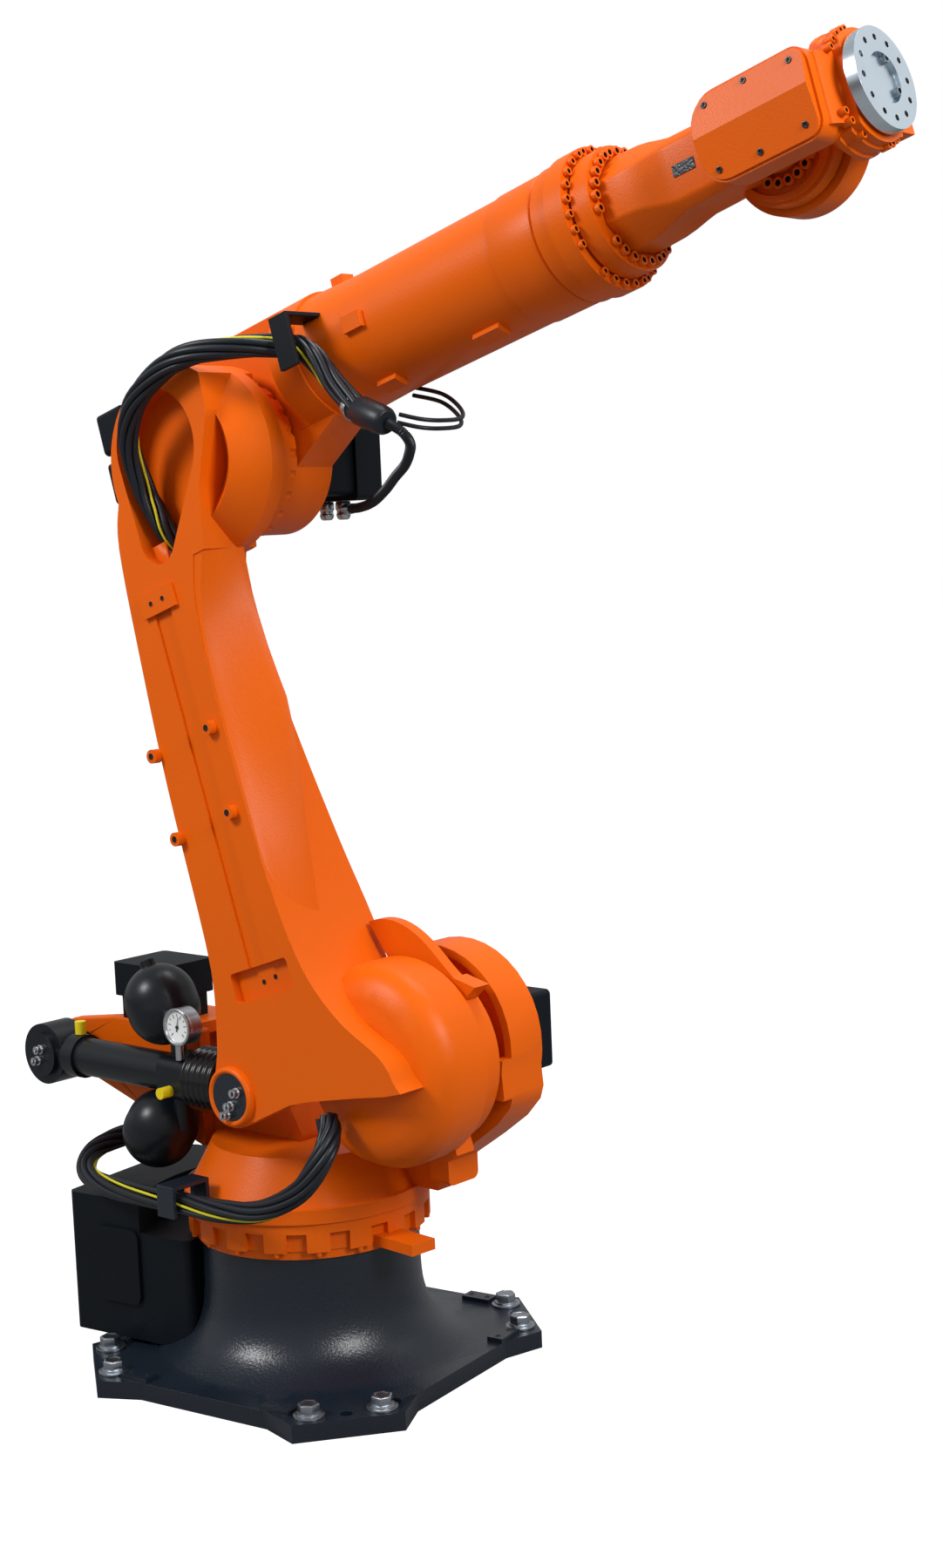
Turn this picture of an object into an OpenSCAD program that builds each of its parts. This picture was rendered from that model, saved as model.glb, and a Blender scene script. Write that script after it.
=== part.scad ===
// Six-axis industrial robot arm with a counterbalance, standing on its bolted foot.
// Millimetres, +Z up, origin on the column axis at floor level, +X away from the connection box.

/* [Axes] */
// Turn of the column about the vertical axis, degrees
column_turn = -7.6; // [-20:0.1:20]
// Lean of the link arm behind the vertical, degrees
link_lean = 17.7; // [12:0.1:22]
// Pitch of the upper arm above the horizontal, degrees
arm_pitch = 15.4; // [8:0.1:22]
// Height of the shoulder axis above the floor
shoulder_z = 645; // [640:1:680]
// Reach of the shoulder axis in front of the column axis
shoulder_x = 330; // [315:1:345]
// Shoulder axis to elbow axis
link_len = 1150; // [1050:1:1250]
// Rise of the forearm axis above the elbow axis
arm_rise = 115; // [105:1:125]
// Elbow axis to wrist axis, along the forearm axis
arm_len = 1220; // [1150:1:1300]
// Wrist axis to the face of the tool flange
hand_len = 215; // [208:1:230]
// Running gap where one turning piece seats on another
run_gap = 0.5; // [0.3:0.1:0.9]
// Clear gap between turning castings
clear_gap = 6; // [5:0.5:9]

/* [Base] */
// Half width of the foot over its corner pads
foot_half = 377; // [365:1:395]
// Reach of the corner pads past the foot's edges
pad_reach = 31; // [24:1:36]
// Thickness of the foot
foot_t = 34; // [28:1:40]
// Length of the slope from an edge out to its corner pad
pad_run = 82; // [70:1:90]
// Corner chamfer, along each edge
chamfer_w = 145; // [138:1:150]
// Radius of the neck at its top
neck_r = 212; // [205:1:216]
// Height of the neck
neck_top = 262; // [255:1:266]
// Spread of the neck where it meets the foot
flare = 98; // [85:1:105]
// Radius of the anchor bolt holes
anchor_r = 13.5; // [11:0.5:15]
// Anchor bolt distance from the foot's edge
anchor_edge = 50; // [46:1:54]
// Distance between the two anchor bolts of a corner, along each edge
anchor_pitch = 94; // [90:1:98]
// Radius of the dowel hole in each corner
dowel_r = 12; // [9:0.5:14]
// Dowel hole distance from the foot's edges
dowel_edge = 92; // [88:1:96]
// Connection box: rear face distance behind the column axis
box_back = 458; // [450:1:480]
// Connection box: half width
box_half = 190; // [180:1:200]
// Connection box: height of its top
box_top = 322; // [310:1:330]

/* [Column] */
// Radius of the castellated ring
ring_r = 235; // [230:1:245]
// Height of the ring's tooth tips above the floor
tooth_z = 279; // [276:1:284]
// Height of the notches in the ring
notch_h = 36; // [28:1:40]
// Notches around the ring
notch_count = 18; // [12:1:24]
// Height of the ring's top
ring_top = 335; // [330:1:340]
// Radius of the lip over the ring
lip_r = 240; // [237:1:246]
// Height of the lip's top
lip_top = 362; // [356:1:366]
// Radius of the shoulder cheek
cheek_r = 181; // [176:1:186]
// Inner face of the shoulder cheek, from the middle plane
cheek_in = 38; // [36:1:42]
// Outer face of the shoulder cheek, from the middle plane
cheek_out = 125; // [115:1:140]
// Rear bracket: near plate's outer face, from the middle plane
bracket_near = 78; // [72:1:80]
// Rear bracket: far plate's outer face, from the middle plane
bracket_far = 100; // [90:1:110]
// Rear bracket: plate thickness
bracket_t = 28; // [22:1:32]

/* [Counterbalance] */
// Front of the valve block behind the column axis
block_gap = 120; // [112:1:126]
// Height of the rear pivot
cb_z = 572; // [566:1:578]
// Middle of the counterbalance, from the arm's middle plane
cb_y = 155; // [152:1:158]
// Radius of the rear eye
eye_r = 62; // [56:1:66]
// Radius of the barrel
barrel_r = 38; // [34:1:42]
// Length of the barrel and block from the rear pivot
barrel_len = 435; // [420:1:445]
// Radius of the bellows
bellows_r = 68; // [62:1:72]
// Radius of the piston rod
rod_r = 22; // [18:1:25]
// Radius of the accumulators
tank_r = 71; // [66:1:72]

/* [Link arm] */
// Outer side face, from the middle plane
link_near = 228; // [224:1:236]
// Radius of the round head about the elbow axis
head_r = 173; // [165:1:180]
// Radius of the shoulder drum
drum_r = 188; // [180:1:192]
// Thickness of the lobe that takes the counterbalance
lobe_t = 30; // [26:1:34]
// Depth of the oval recess at the elbow
recess_depth = 62; // [45:1:75]

/* [Arm] */
// Radius of the elbow ring
elbow_ring_r = 150; // [142:1:155]
// Outer face of the elbow ring, from the middle plane
elbow_face = 62; // [58:1:66]
// Radius of the elbow drum of the arm housing
elbow_drum_r = 140; // [136:1:146]
// Far side of the elbow drum, from the middle plane
elbow_far = 40; // [36:1:46]
// Radius of the arm tube
tube_r = 112; // [106:1:116]
// Radius of the tube's end flange
end_flange_r = 122; // [119:1:126]
// Front face of the end flange to the wrist axis
fore_len = 321; // [312:1:330]

/* [Wrist] */
// Radius of the forearm's bolted flange
fore_flange_r = 106; // [100:1:112]
// Radius of the wrist disc
wrist_disc_r = 103; // [98:1:104]
// Half width of the forearm between the wrist cheeks
fore_half = 55; // [50:1:56]
// Outer face of the near cheek, from the middle plane
hand_near = 114; // [110:1:120]
// Thickness of the hand cover
cover_t = 15; // [12:1:18]
// Radius of the far wrist drum
far_drum_r = 115; // [110:1:120]
// Radius of the tool flange
flange_r = 80; // [76:1:84]
// Bolt circle diameter of the tool flange
flange_pcd = 125; // [120:0.5:130]
// Radius of the tool flange's holes
flange_hole_r = 5; // [4:0.1:5.5]
// Thickness of the tool flange
flange_t = 20; // [16:1:24]

/* [Hidden] */
$fn = 96;

orange = [0.93, 0.36, 0.05];
dark = [0.13, 0.14, 0.16];
steel = [0.72, 0.74, 0.76];
yellow = [0.95, 0.85, 0.1];

// Cuts run past the faces they open by this much
over = 2;
// Gap between fixed pieces that seat on curved faces
seat = 0.3;

// Frames of the moving bodies at rest
module in_column() rotate([0, 0, column_turn]) children();
module in_link() in_column() translate([shoulder_x, 0, shoulder_z]) rotate([0, -link_lean, 0]) children();
module in_arm() in_link() translate([0, 0, link_len]) rotate([0, link_lean - arm_pitch, 0]) children();
module in_hand() in_arm() translate([arm_len, 0, arm_rise]) children();
module in_counterbalance() in_column() translate([-cb_back, -cb_y, cb_z]) children();

// A cylinder along Y, a cylinder along X, and outlines drawn in the XZ and YZ planes
module along_y(y0, y1, r) translate([0, y0, 0]) rotate([-90, 0, 0]) cylinder(h = y1 - y0, r = r);
module along_x(x0, x1, r) translate([x0, 0, 0]) rotate([0, 90, 0]) cylinder(h = x1 - x0, r = r);
module plate_y(y0, y1) translate([0, y1, 0]) rotate([90, 0, 0]) linear_extrude(y1 - y0) children();
module plate_x(x0, x1) translate([x0, 0, 0]) rotate([90, 0, 90]) linear_extrude(x1 - x0) children();
module turned_y() rotate([-90, 0, 0]) rotate_extrude() children();
module turned_x() rotate([0, 90, 0]) rotate_extrude() children();
module span(low, high) translate(low) cube(high - low);

// Points on a smooth curve through a list of places
curve_steps = 5;
function bend(a, b, c, d, t) = 0.5 * ((2 * b) + (c - a) * t + (2 * a - 5 * b + 4 * c - d) * t * t
    + (3 * b - a - 3 * c + d) * t * t * t);
function at(p, i) = p[max(0, min(len(p) - 1, i))];
function smooth(p) = concat([for (i = [0 : len(p) - 2]) for (k = [0 : curve_steps - 1])
    bend(at(p, i - 1), p[i], p[i + 1], at(p, i + 2), k / curve_steps)], [p[len(p) - 1]]);

// A solid through a list of rings, each ring running the same way round
module loft(rings) {
    n = len(rings[0]);
    m = len(rings);
    sides = [for (j = [0 : m - 2]) for (i = [0 : n - 1])
        [j * n + i, (j + 1) * n + i, (j + 1) * n + (i + 1) % n, j * n + (i + 1) % n]];
    ends = [[for (i = [0 : n - 1]) i], [for (i = [n - 1 : -1 : 0]) (m - 1) * n + i]];
    polyhedron(points = [for (r = rings) each r], faces = concat(sides, ends));
}

// A round tube swept along a route
function unit(v) = v / norm(v);
function heading(p, i) = unit(at(p, i + 1) - at(p, i - 1));
function side_of(t) = unit(cross(t, abs(t[2]) < 0.9 ? [0, 0, 1] : [1, 0, 0]));
tube_sides = 10;
module swept(path, r) loft([for (i = [0 : len(path) - 1])
    let (t = heading(path, i), u = side_of(t), v = cross(t, u))
    [for (k = [0 : tube_sides - 1]) path[i] + r * (cos(360 * k / tube_sides) * u
        + sin(360 * k / tube_sides) * v)]]);

// Base
foot_waist = foot_half - pad_reach;
chamfer_start = foot_half - chamfer_w;
pad_start = chamfer_start - pad_run;
anchor_far = foot_half - anchor_edge;
anchor_near = anchor_far - anchor_pitch;
dowel_at = foot_half - dowel_edge;
strip_t = 9;
strip_size = [64, 34];
strip_inset = 18;
strip_at = pad_start + strip_inset;
flare_power = 5.2;
flare_steps = 14;
function flare_at(t) = neck_r + flare * pow(1 - t, flare_power);
module foot_outline() polygon([for (q = [0 : 3]) for (p = [[foot_waist, -pad_start], [foot_waist, pad_start],
    [foot_half, chamfer_start], [chamfer_start, foot_half], [pad_start, foot_waist]])
    [p[0] * cos(90 * q) - p[1] * sin(90 * q), p[0] * sin(90 * q) + p[1] * cos(90 * q)]]);
module neck(grow) rotate_extrude() polygon(concat([[0, 0]],
    [for (k = [0 : flare_steps]) [flare_at(k / flare_steps) + grow,
        foot_t + (neck_top - foot_t) * k / flare_steps]], [[0, neck_top]]));
module each_corner() for (q = [0 : 3]) rotate([0, 0, 90 * q]) children();

module foot_casting() color(dark) difference() {
    union() {
        linear_extrude(foot_t) foot_outline();
        neck(0);
        each_corner() for (side = [-1, 1]) translate([foot_waist - strip_size[1], side * strip_at
            - strip_size[0] / 2, 0]) cube([strip_size[1], strip_size[0], foot_t + strip_t]);
    }
    each_corner() {
        for (p = [[anchor_far, anchor_near], [anchor_near, anchor_far]])
            translate([p[0], p[1], -over]) cylinder(h = foot_t + 2 * over, r = anchor_r);
        translate([dowel_at, dowel_at, -over]) cylinder(h = foot_t + 2 * over, r = dowel_r);
    }
}

// Connection box behind the neck
box_front = 150;
box_round = 16;
panel_size = [110, 150];
panel_t = 7;
panel_round = 18;
panel_x = 330;
panel_z = 190;
module rounded(size, r) {
    for (x = [-1, 1], y = [-1, 1]) translate([x * (size[0] / 2 - r), y * (size[1] / 2 - r)]) circle(r);
    square([size[0], size[1] - 2 * r], center = true);
    square([size[0] - 2 * r, size[1]], center = true);
}
module connection_box() color(dark) difference() {
    translate([-(box_back + box_front) / 2, 0, foot_t + strip_t]) linear_extrude(box_top - foot_t - strip_t)
        rounded([box_back - box_front, 2 * box_half], box_round);
    neck(seat);
    translate([0, 0, neck_top - over]) cylinder(h = box_top, r = ring_r + stop_reach + clear_gap);
}
module connection_panel() color(dark) {
    translate([-panel_x, 0, panel_z]) plate_y(-box_half - panel_t, -box_half)
        rounded(panel_size, panel_round);
    translate([0, 0, panel_z]) plate_x(-box_back - panel_t, -box_back)
        rounded([2 * box_half - panel_size[0], panel_size[1]], panel_round);
}

// Castellated ring that the column turns on
notch_share = 0.46;
notch_depth = 13;
seat_ring_r = 219;
stop_reach = 92;
stop_w = 58;
stop_h = 21;
stop_drop = 7;
stop_angle = -5;
module column_ring() color(orange) in_column() {
    difference() {
        union() {
            translate([0, 0, tooth_z]) cylinder(h = ring_top - tooth_z, r = ring_r);
            translate([0, 0, neck_top + run_gap]) cylinder(h = tooth_z - neck_top - run_gap, r = seat_ring_r);
        }
        for (k = [0 : notch_count - 1]) rotate([0, 0, 360 / notch_count * (k + notch_share)])
            translate([ring_r - notch_depth, -ring_r * PI / notch_count * notch_share, tooth_z - over])
                cube([2 * notch_depth, 2 * ring_r * PI / notch_count * notch_share, notch_h + over]);
    }
    rotate([0, 0, stop_angle]) span([seat_ring_r - notch_depth, -stop_w / 2, tooth_z - stop_drop],
        [ring_r + stop_reach, stop_w / 2, tooth_z - stop_drop + stop_h]);
}

// Rotating column: lip, tapered body, and the shoulder cheek with its rim, stop pad, foot tab and web
body_r = 228;
body_top_r = 182;
body_top = 446;
rear_back = 236;
rear_front = 40;
rear_top = 600;
rear_step = 458;
gear_r = 150;
gear_out = 150;
hub_r = 118;
cheek_shift = [-10, 14];
cheek_wall = 16;
cheek_recess = 24;
cheek_steps = 26;
cheek_angles = [-12, 235];
foot_shares = [[-0.22, -1.2], [-0.02, -1.22], [0.41, -0.93], [0.72, -0.7], [0.9, -0.5], [0.945, -0.36]];
web_shares = [[-1.2, -1], [-0.26, -1], [-0.26, -0.72], [0.2, -0.3], [0.2, 0], [-0.9, 0]];
stop_pad_near = 13;
stop_pad_shares = [[0.82, -0.4], [1.1, 0.01]];
tab_size = [46, 64];
tab_front = 4;
tab_drop = 232;
tab_round = 14;
module column_rear() plate_y(-bracket_near + bracket_t + seat, bracket_far - bracket_t - seat)
    polygon([[-rear_back, lip_top - over], [rear_front, lip_top - over], [rear_front, rear_step],
        [-rear_front, rear_top], [-rear_back + rear_front, rear_top], [-rear_back, rear_step]]);
module cheek_side() polygon(concat([for (k = [0 : cheek_steps])
    let (a = cheek_angles[0] + (cheek_angles[1] - cheek_angles[0]) * k / cheek_steps)
    cheek_shift + cheek_r * [cos(a), sin(a)]], [for (p = foot_shares) p * cheek_r]));
module cheek() {
    difference() {
        plate_y(cheek_in, cheek_out) cheek_side();
        difference() {
            translate([cheek_shift[0], 0, cheek_shift[1]])
                along_y(cheek_in - over, cheek_in + cheek_recess, cheek_r - cheek_wall);
            along_y(cheek_in - 2 * over, cheek_in + cheek_recess + over, hub_r);
        }
    }
    along_y(cheek_out - over, gear_out, gear_r);
    plate_y(stop_pad_near, cheek_in + over) intersection() {
        cheek_side();
        translate(stop_pad_shares[0] * cheek_r) square((stop_pad_shares[1] - stop_pad_shares[0]) * cheek_r);
    }
    plate_x(tab_front - tab_size[0], tab_front) translate([(cheek_in + cheek_out) / 2, -tab_drop])
        rounded([cheek_out - cheek_in - 2 * over, tab_size[1]], tab_round);
    plate_y(cheek_in + cheek_recess + over, cheek_out - cheek_wall) polygon([for (p = web_shares)
        [p[0] * cheek_r, p[1] * (shoulder_z - lip_top) - over]]);
}
module rotating_column() color(orange) in_column() {
    translate([0, 0, ring_top]) cylinder(h = lip_top - ring_top, r = lip_r);
    translate([0, 0, lip_top]) cylinder(h = body_top - lip_top, r1 = body_r, r2 = body_top_r);
    column_rear();
    translate([shoulder_x, 0, shoulder_z]) cheek();
}

// Rear bracket: two plates and a shelf that carries the column motor
shelf_z = 640;
shelf_t = 26;
shelf_back = 462;
shelf_front = 255;
tip_h = 48;
bracket_low = 458;
bracket_bend = 389;
bracket_front = 206;
bracket_foot = 42;
module bracket_outline(reach) polygon([[-bracket_front, lip_top + bracket_foot], [-bracket_front, shelf_z],
    [-shelf_back, shelf_z], [-reach, cb_z + tip_h], [-reach, cb_z - tip_h],
    [-bracket_bend, bracket_low]]);
module rear_bracket() color(orange) in_column() {
    difference() {
        plate_y(-bracket_near, -bracket_near + bracket_t) bracket_outline(cb_back + tip_h);
        translate([-cb_back, 0, cb_z]) along_y(-bracket_near - over, bracket_t, rod_r + run_gap);
    }
    plate_y(bracket_far - bracket_t, bracket_far) bracket_outline(shelf_back + tip_h);
    span([-shelf_back, -bracket_near + bracket_t, shelf_z - shelf_t],
        [-shelf_front, bracket_far - bracket_t, shelf_z]);
}

// Drive motors of the column and the shoulder
motor_size = [150, 140, 115];
motor_x = 375;
motor_y = -15;
motor_round = 10;
motor_cap = 34;
motor_step = 9;
module motor_block(size, cap) {
    linear_extrude(size[2] - cap) rounded([size[0] - 2 * motor_step, size[1] - 2 * motor_step], motor_round);
    translate([0, 0, size[2] - cap]) linear_extrude(cap) rounded([size[0], size[1]], motor_round);
}
module column_motor() color(dark) in_column() translate([-motor_x, motor_y, shelf_z])
    motor_block(motor_size, motor_cap * 2);
shoulder_motor_size = [136, 150, 128];
module shoulder_motor() color(dark) in_column() translate([shoulder_x, gear_out, shoulder_z])
    rotate([-90, 0, 0]) motor_block(shoulder_motor_size, motor_cap * 2);

// Flat arm on the column that holds the lower cables
cable_arm_w = 46;
cable_arm_t = 8;
cable_arm_x = -50;
cable_arm_reach = 322;
cable_arm_z = 402;
clamp_drop = 52;
post_y = 232;
strap_x = 424;
strap_z = [385, 520];
module cable_arm() color(dark) in_column() {
    span([cable_arm_x - cable_arm_w / 2, -cable_arm_reach, cable_arm_z],
        [cable_arm_x + cable_arm_w / 2, -post_y, cable_arm_z + cable_arm_t]);
    span([cable_arm_x - cable_arm_w / 2, -cable_arm_reach, cable_arm_z - clamp_drop],
        [cable_arm_x + cable_arm_w / 2, -cable_arm_reach + cable_arm_t, cable_arm_z]);
    span([cable_arm_x - cable_arm_w / 2, -post_y - cable_arm_t, lip_top],
        [cable_arm_x + cable_arm_w / 2, -post_y, cable_arm_z]);
    span([-strap_x - cable_arm_w / 2, -bracket_near + bracket_t, strap_z[0]],
        [-strap_x + cable_arm_w / 2, -bracket_near + bracket_t + cable_arm_t, strap_z[1]]);
}

// Counterbalance: eye, barrel and valve block, drawn along +X from the rear pivot
cb_back = barrel_len + block_gap;
eye_half = 34;
block_len = 74;
block_size = [96, 84];
block_round = 22;
cap_r = 44;
cap_t = 10;
collar_r = 44;
bore_r = 27;
bore_len = 395;
module counterbalance_barrel() color(dark) in_counterbalance() difference() {
    union() {
        along_y(-eye_half, eye_half, eye_r);
        along_y(-eye_half - cap_t, -eye_half, cap_r);
        along_y(eye_half, cb_y - bracket_near + bracket_t, rod_r);
        along_x(0, barrel_len, barrel_r);
        along_x(eye_r, eye_r + motor_cap, collar_r);
        plate_x(barrel_len - block_len, barrel_len) rounded(block_size, block_round);
    }
    along_x(barrel_len - bore_len, barrel_len + over, bore_r);
}
tank_rise = 138.5;
tank_len = 18;
tank_leans = [25.5, 37.5];
stem_r = 16;
stem_back = 22;
module tank(lean) translate([barrel_len - block_len / 2, 0, 0]) {
    translate([-stem_back, 0, block_size[1] / 2])
        cylinder(h = tank_rise * cos(lean) - block_size[1] / 2, r = stem_r);
    rotate([0, -lean, 0]) translate([0, 0, tank_rise]) {
        cylinder(h = tank_len, r = tank_r);
        sphere(tank_r);
        translate([0, 0, tank_len]) sphere(tank_r);
        translate([0, 0, tank_len + tank_r - over]) cylinder(h = cap_t + over, r = stem_r);
    }
}
module accumulators() color(dark) in_counterbalance() {
    tank(tank_leans[0]);
    mirror([0, 0, 1]) tank(tank_leans[1]);
}
gauge_stem_r = 8;
gauge_r = 36;
gauge_t = 28;
gauge_rise = 110;
gauge_x = barrel_len + gauge_stem_r / 2;
gauge_y = 40;
gauge_stem_x = gauge_x - 2 * gauge_stem_r;
module pressure_gauge() color(steel) in_counterbalance() translate([0, -gauge_y, 0]) {
    translate([gauge_x, 0, gauge_rise]) along_y(-gauge_t / 2, gauge_t / 2, gauge_r);
    translate([gauge_stem_x, 0, block_size[1] / 2])
        cylinder(h = gauge_rise - block_size[1] / 2, r = gauge_stem_r);
}
valve_r = 11;
valve_h = 26;
module valve_caps() color(yellow) in_counterbalance() {
    translate([eye_r + motor_cap / 2, 0, collar_r + seat]) cylinder(h = valve_h, r = valve_r);
    translate([barrel_len - block_len / 2, -block_size[0] / 2 - seat, -block_size[1] / 4])
        along_y(-valve_h, 0, valve_r);
}
fold_count = 6;
fold_depth = 10;
bellows_len = 92;
module counterbalance_bellows() color(dark) in_counterbalance() translate([barrel_len + seat, 0, 0])
    turned_x() polygon(concat([[rod_r + run_gap, 0]],
        [for (k = [0 : 2 * fold_count])
            [bellows_r - (k % 2) * fold_depth, bellows_len * k / (2 * fold_count)]],
        [[rod_r + run_gap, bellows_len]]));
rod_eye_r = 40;
rod_eye_half = 26;
rod_tail = 380;
// Link pin place in the link frame: behind and above the shoulder axis
pin_back = 290;
pin_up = 18;
module piston_rod() color(steel) in_counterbalance() {
    rod_end = shoulder_x + cb_back - pin_back * cos(link_lean) - pin_up * sin(link_lean);
    along_x(rod_end - rod_tail - bellows_len, rod_end, rod_r);
    translate([rod_end, 0, 0]) along_y(-rod_eye_half, rod_eye_half, rod_eye_r);
}

// Link arm: side outline as shares of its length, far side as shares of the head's depth and the length
rear_shares = [[-0.149, 0.985], [-0.177, 0.915], [-0.198, 0.72], [-0.213, 0.52], [-0.221, 0.27],
    [-0.233, 0.18], [-0.262, 0.09]];
bottom_shares = [[-0.2, -0.03], [-0.128, -0.021], [-0.084, -0.023], [0.024, -0.036], [0.08, -0.044]];
front_shares = [[0.116, -0.046], [0.108, -0.03], [0.092, 0.014], [0.026, 0.088], [-0.02, 0.18],
    [-0.041, 0.312], [-0.047, 0.46], [-0.048, 0.585], [-0.045, 0.71], [-0.033, 0.795], [-0.002, 0.87],
    [0.04, 0.942], [0.1, 1.048]];
far_shares = [[-1, 1.2], [-1, 1], [-1, 0.84], [-0.86, 0.74], [-0.455, 0.5], [-0.08, 0.26], [-0.2, 0.163],
    [-0.49, 0.102], [-0.86, 0.042], [-1.23, -0.009], [-1.3, -0.08]];
head_shares = [[-2, 0.8], [0, 0.8], [0.04, 0.942], [0.1, 1.048], [0.125, 1.3], [-2, 1.3]];
lobe_r = 60;
drum_near = 176;
drum_out = 6;
drum_round = 46;
drum_edge_shares = [[-2, 0], [-1, 0.2], [-0.33, 0.6], [0, 1.3]];
rim_r = 170;
rim_y = 38;
rim_step = 10;
head_far = 96;
head_step = 20;
head_edge_shares = [[0, 2], [0.7, 0.4], [1, 1.3]];
link_lug = [[-40, -46, -192], [48, 2, -150]];
function scaled(shares, size) = [for (p = shares) p * size];
module link_side() {
    polygon(concat(smooth(scaled(rear_shares, link_len)), [[-pin_back - lobe_r, pin_up],
        [-pin_back, pin_up - lobe_r]], scaled(bottom_shares, link_len),
        smooth(scaled(front_shares, link_len))));
    translate([-pin_back, pin_up]) circle(lobe_r);
    intersection() {
        translate([0, link_len]) circle(head_r);
        polygon(scaled(head_shares, link_len));
    }
}
module link_front() {
    far = smooth([for (p = far_shares) [p[0] * head_far, p[1] * link_len]]);
    polygon(concat([[-link_near, far[len(far) - 1][1]], [-link_near, far[0][1]]], far));
}
module shoulder_drum() {
    turned_y() polygon(concat([[0, -drum_near]], [for (p = drum_edge_shares)
        [drum_r + p[0] * drum_round, -drum_near + p[1] * drum_round]], [[drum_r, -rim_y - rim_step],
        [rim_r, -rim_y], [rim_r, drum_out], [hub_r, drum_out], [hub_r, cheek_in - run_gap],
        [0, cheek_in - run_gap]]));
    span(link_lug[0], link_lug[1]);
}
module elbow_head() translate([0, 0, link_len]) turned_y() polygon(concat([for (p = head_edge_shares)
    [p[0] * head_r, -link_near + p[1] * recess_depth]], [[head_r, -head_far - head_step],
    [elbow_ring_r, -head_far], [0, -head_far]]));
boss_shares = [[-0.217, 0.577], [-0.074, 0.584], [-0.214, 0.437], [-0.078, 0.446]];
boss_r = 13;
boss_h = 15;
pad_size = [92, 44];
pad_h = 8;
pad_shares = [[-0.115, 0.807], [-0.117, 0.179]];
scoop_size = [156, 56];
scoop_depth = 16;
scoop_round = 8;
groove_w = 46;
groove_depth = 5;
pocket_back = 400;
pocket_front = 130;
pocket_top = 330;
pocket_w = 74;
relief_front = 105;
relief_inner = 45;
relief_top = 1030;
relief_crown = 1112;
relief_low = 690;
relief_y = 200;
recess_r = [106, 46];
recess_shares = [[-0.033, 1.036], [-0.083, 0.9]];
module fold_relief() difference() {
    union() {
        span([-pocket_back, -relief_y, relief_low], [-relief_front, link_near, relief_top]);
        span([-pocket_back, -housing_r - clear_gap, relief_low], [-relief_inner, link_near, relief_top]);
        span([-pocket_back, -housing_r - clear_gap, relief_low], [-relief_front, link_near, relief_crown]);
    }
    translate([0, 0, link_len]) along_y(-link_near, link_near, head_r + over);
}
module link_arm() color(orange) in_link() difference() {
    union() {
        intersection() {
            plate_y(-link_near, drum_out) link_side();
            plate_x(-link_len, link_len) link_front();
        }
        shoulder_drum();
        elbow_head();
        for (p = boss_shares) translate([p[0] * link_len, 0, p[1] * link_len])
            along_y(-link_near - boss_h, -link_near + over, boss_r);
        translate([pad_shares[0][0] * link_len, 0, pad_shares[0][1] * link_len])
            plate_y(-link_near - pad_h, -link_near + over) square(pad_size, center = true);
    }
    // Space for the rod eye behind the lobe
    span([-pocket_back, -link_near + lobe_t, -drum_r],
        [-pocket_front, -link_near + lobe_t + pocket_w, pocket_top]);
    span([-pocket_back, -link_near + lobe_t, -drum_r], [-drum_r, link_near, pocket_top]);
    // Space for the housing and its cable bracket when the arm is folded right back
    fold_relief();
    translate([-pin_back, 0, pin_up]) along_y(-link_near - over, -link_near + lobe_t + over, rod_r + run_gap);
    plate_y(-link_near - over, -link_near + recess_depth) hull() for (k = [0, 1])
        translate(recess_shares[k] * link_len) circle(recess_r[k], $fn = 48);
    plate_y(-link_near - over, -link_near + groove_depth) hull() for (p = pad_shares)
        translate(p * link_len) circle(groove_w / 2, $fn = 24);
    translate([pad_shares[1][0] * link_len, 0, pad_shares[1][1] * link_len])
        plate_y(-link_near - over, -link_near + scoop_depth) rounded(scoop_size, scoop_round);
}

// Curved fin over the shoulder drum, ending in a stop block
fin_r = 261;
fin_y = [-34, -10];
fin_angles = [38, 95];
fin_root_angle = 88;
fin_steps = 18;
fin_end_r = 212;
fin_end_y = [-37, 2];
fin_end_angles = [25, 39];
function fin_at(t) = drum_r + (fin_r - drum_r) * (1 - cos(180 * t)) / 2;
function turned(a, r) = r * [cos(a), sin(a)];
module shoulder_fin() color(orange) in_link() {
    plate_y(fin_y[0], fin_y[1]) polygon(concat(
        [for (k = [0 : fin_steps]) let (t = k / fin_steps)
            turned(fin_angles[0] + (fin_angles[1] - fin_angles[0]) * t, fin_at(t))],
        [for (k = [fin_steps : -1 : 0]) let (t = k / fin_steps)
            turned(fin_angles[0] + (fin_root_angle - fin_angles[0]) * t, rim_r + seat)]));
    plate_y(fin_end_y[0], fin_end_y[1]) polygon([turned(fin_end_angles[0], rim_r + over),
        turned(fin_end_angles[0], fin_end_r), turned(fin_end_angles[1], drum_r),
        turned(fin_end_angles[1], rim_r + over)]);
}
cover_r = 44;
pin_cover_t = 9;
module pin_cover() color(dark) in_link() translate([-pin_back, 0, pin_up]) {
    along_y(-link_near, -link_near + lobe_t, rod_r);
    along_y(-link_near - pin_cover_t, -link_near, cover_r);
}
scallops = 24;
scallop_r = 8;
module elbow_ring() color(orange) in_link() translate([0, 0, link_len]) difference() {
    along_y(-head_far, -elbow_face, elbow_ring_r);
    for (k = [0 : scallops - 1]) rotate([0, 360 / scallops * k, 0])
        translate([elbow_ring_r + scallop_r / 3, 0, 0])
            along_y(-elbow_face - scallop_r * 2, -elbow_face + over, scallop_r);
}

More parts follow.
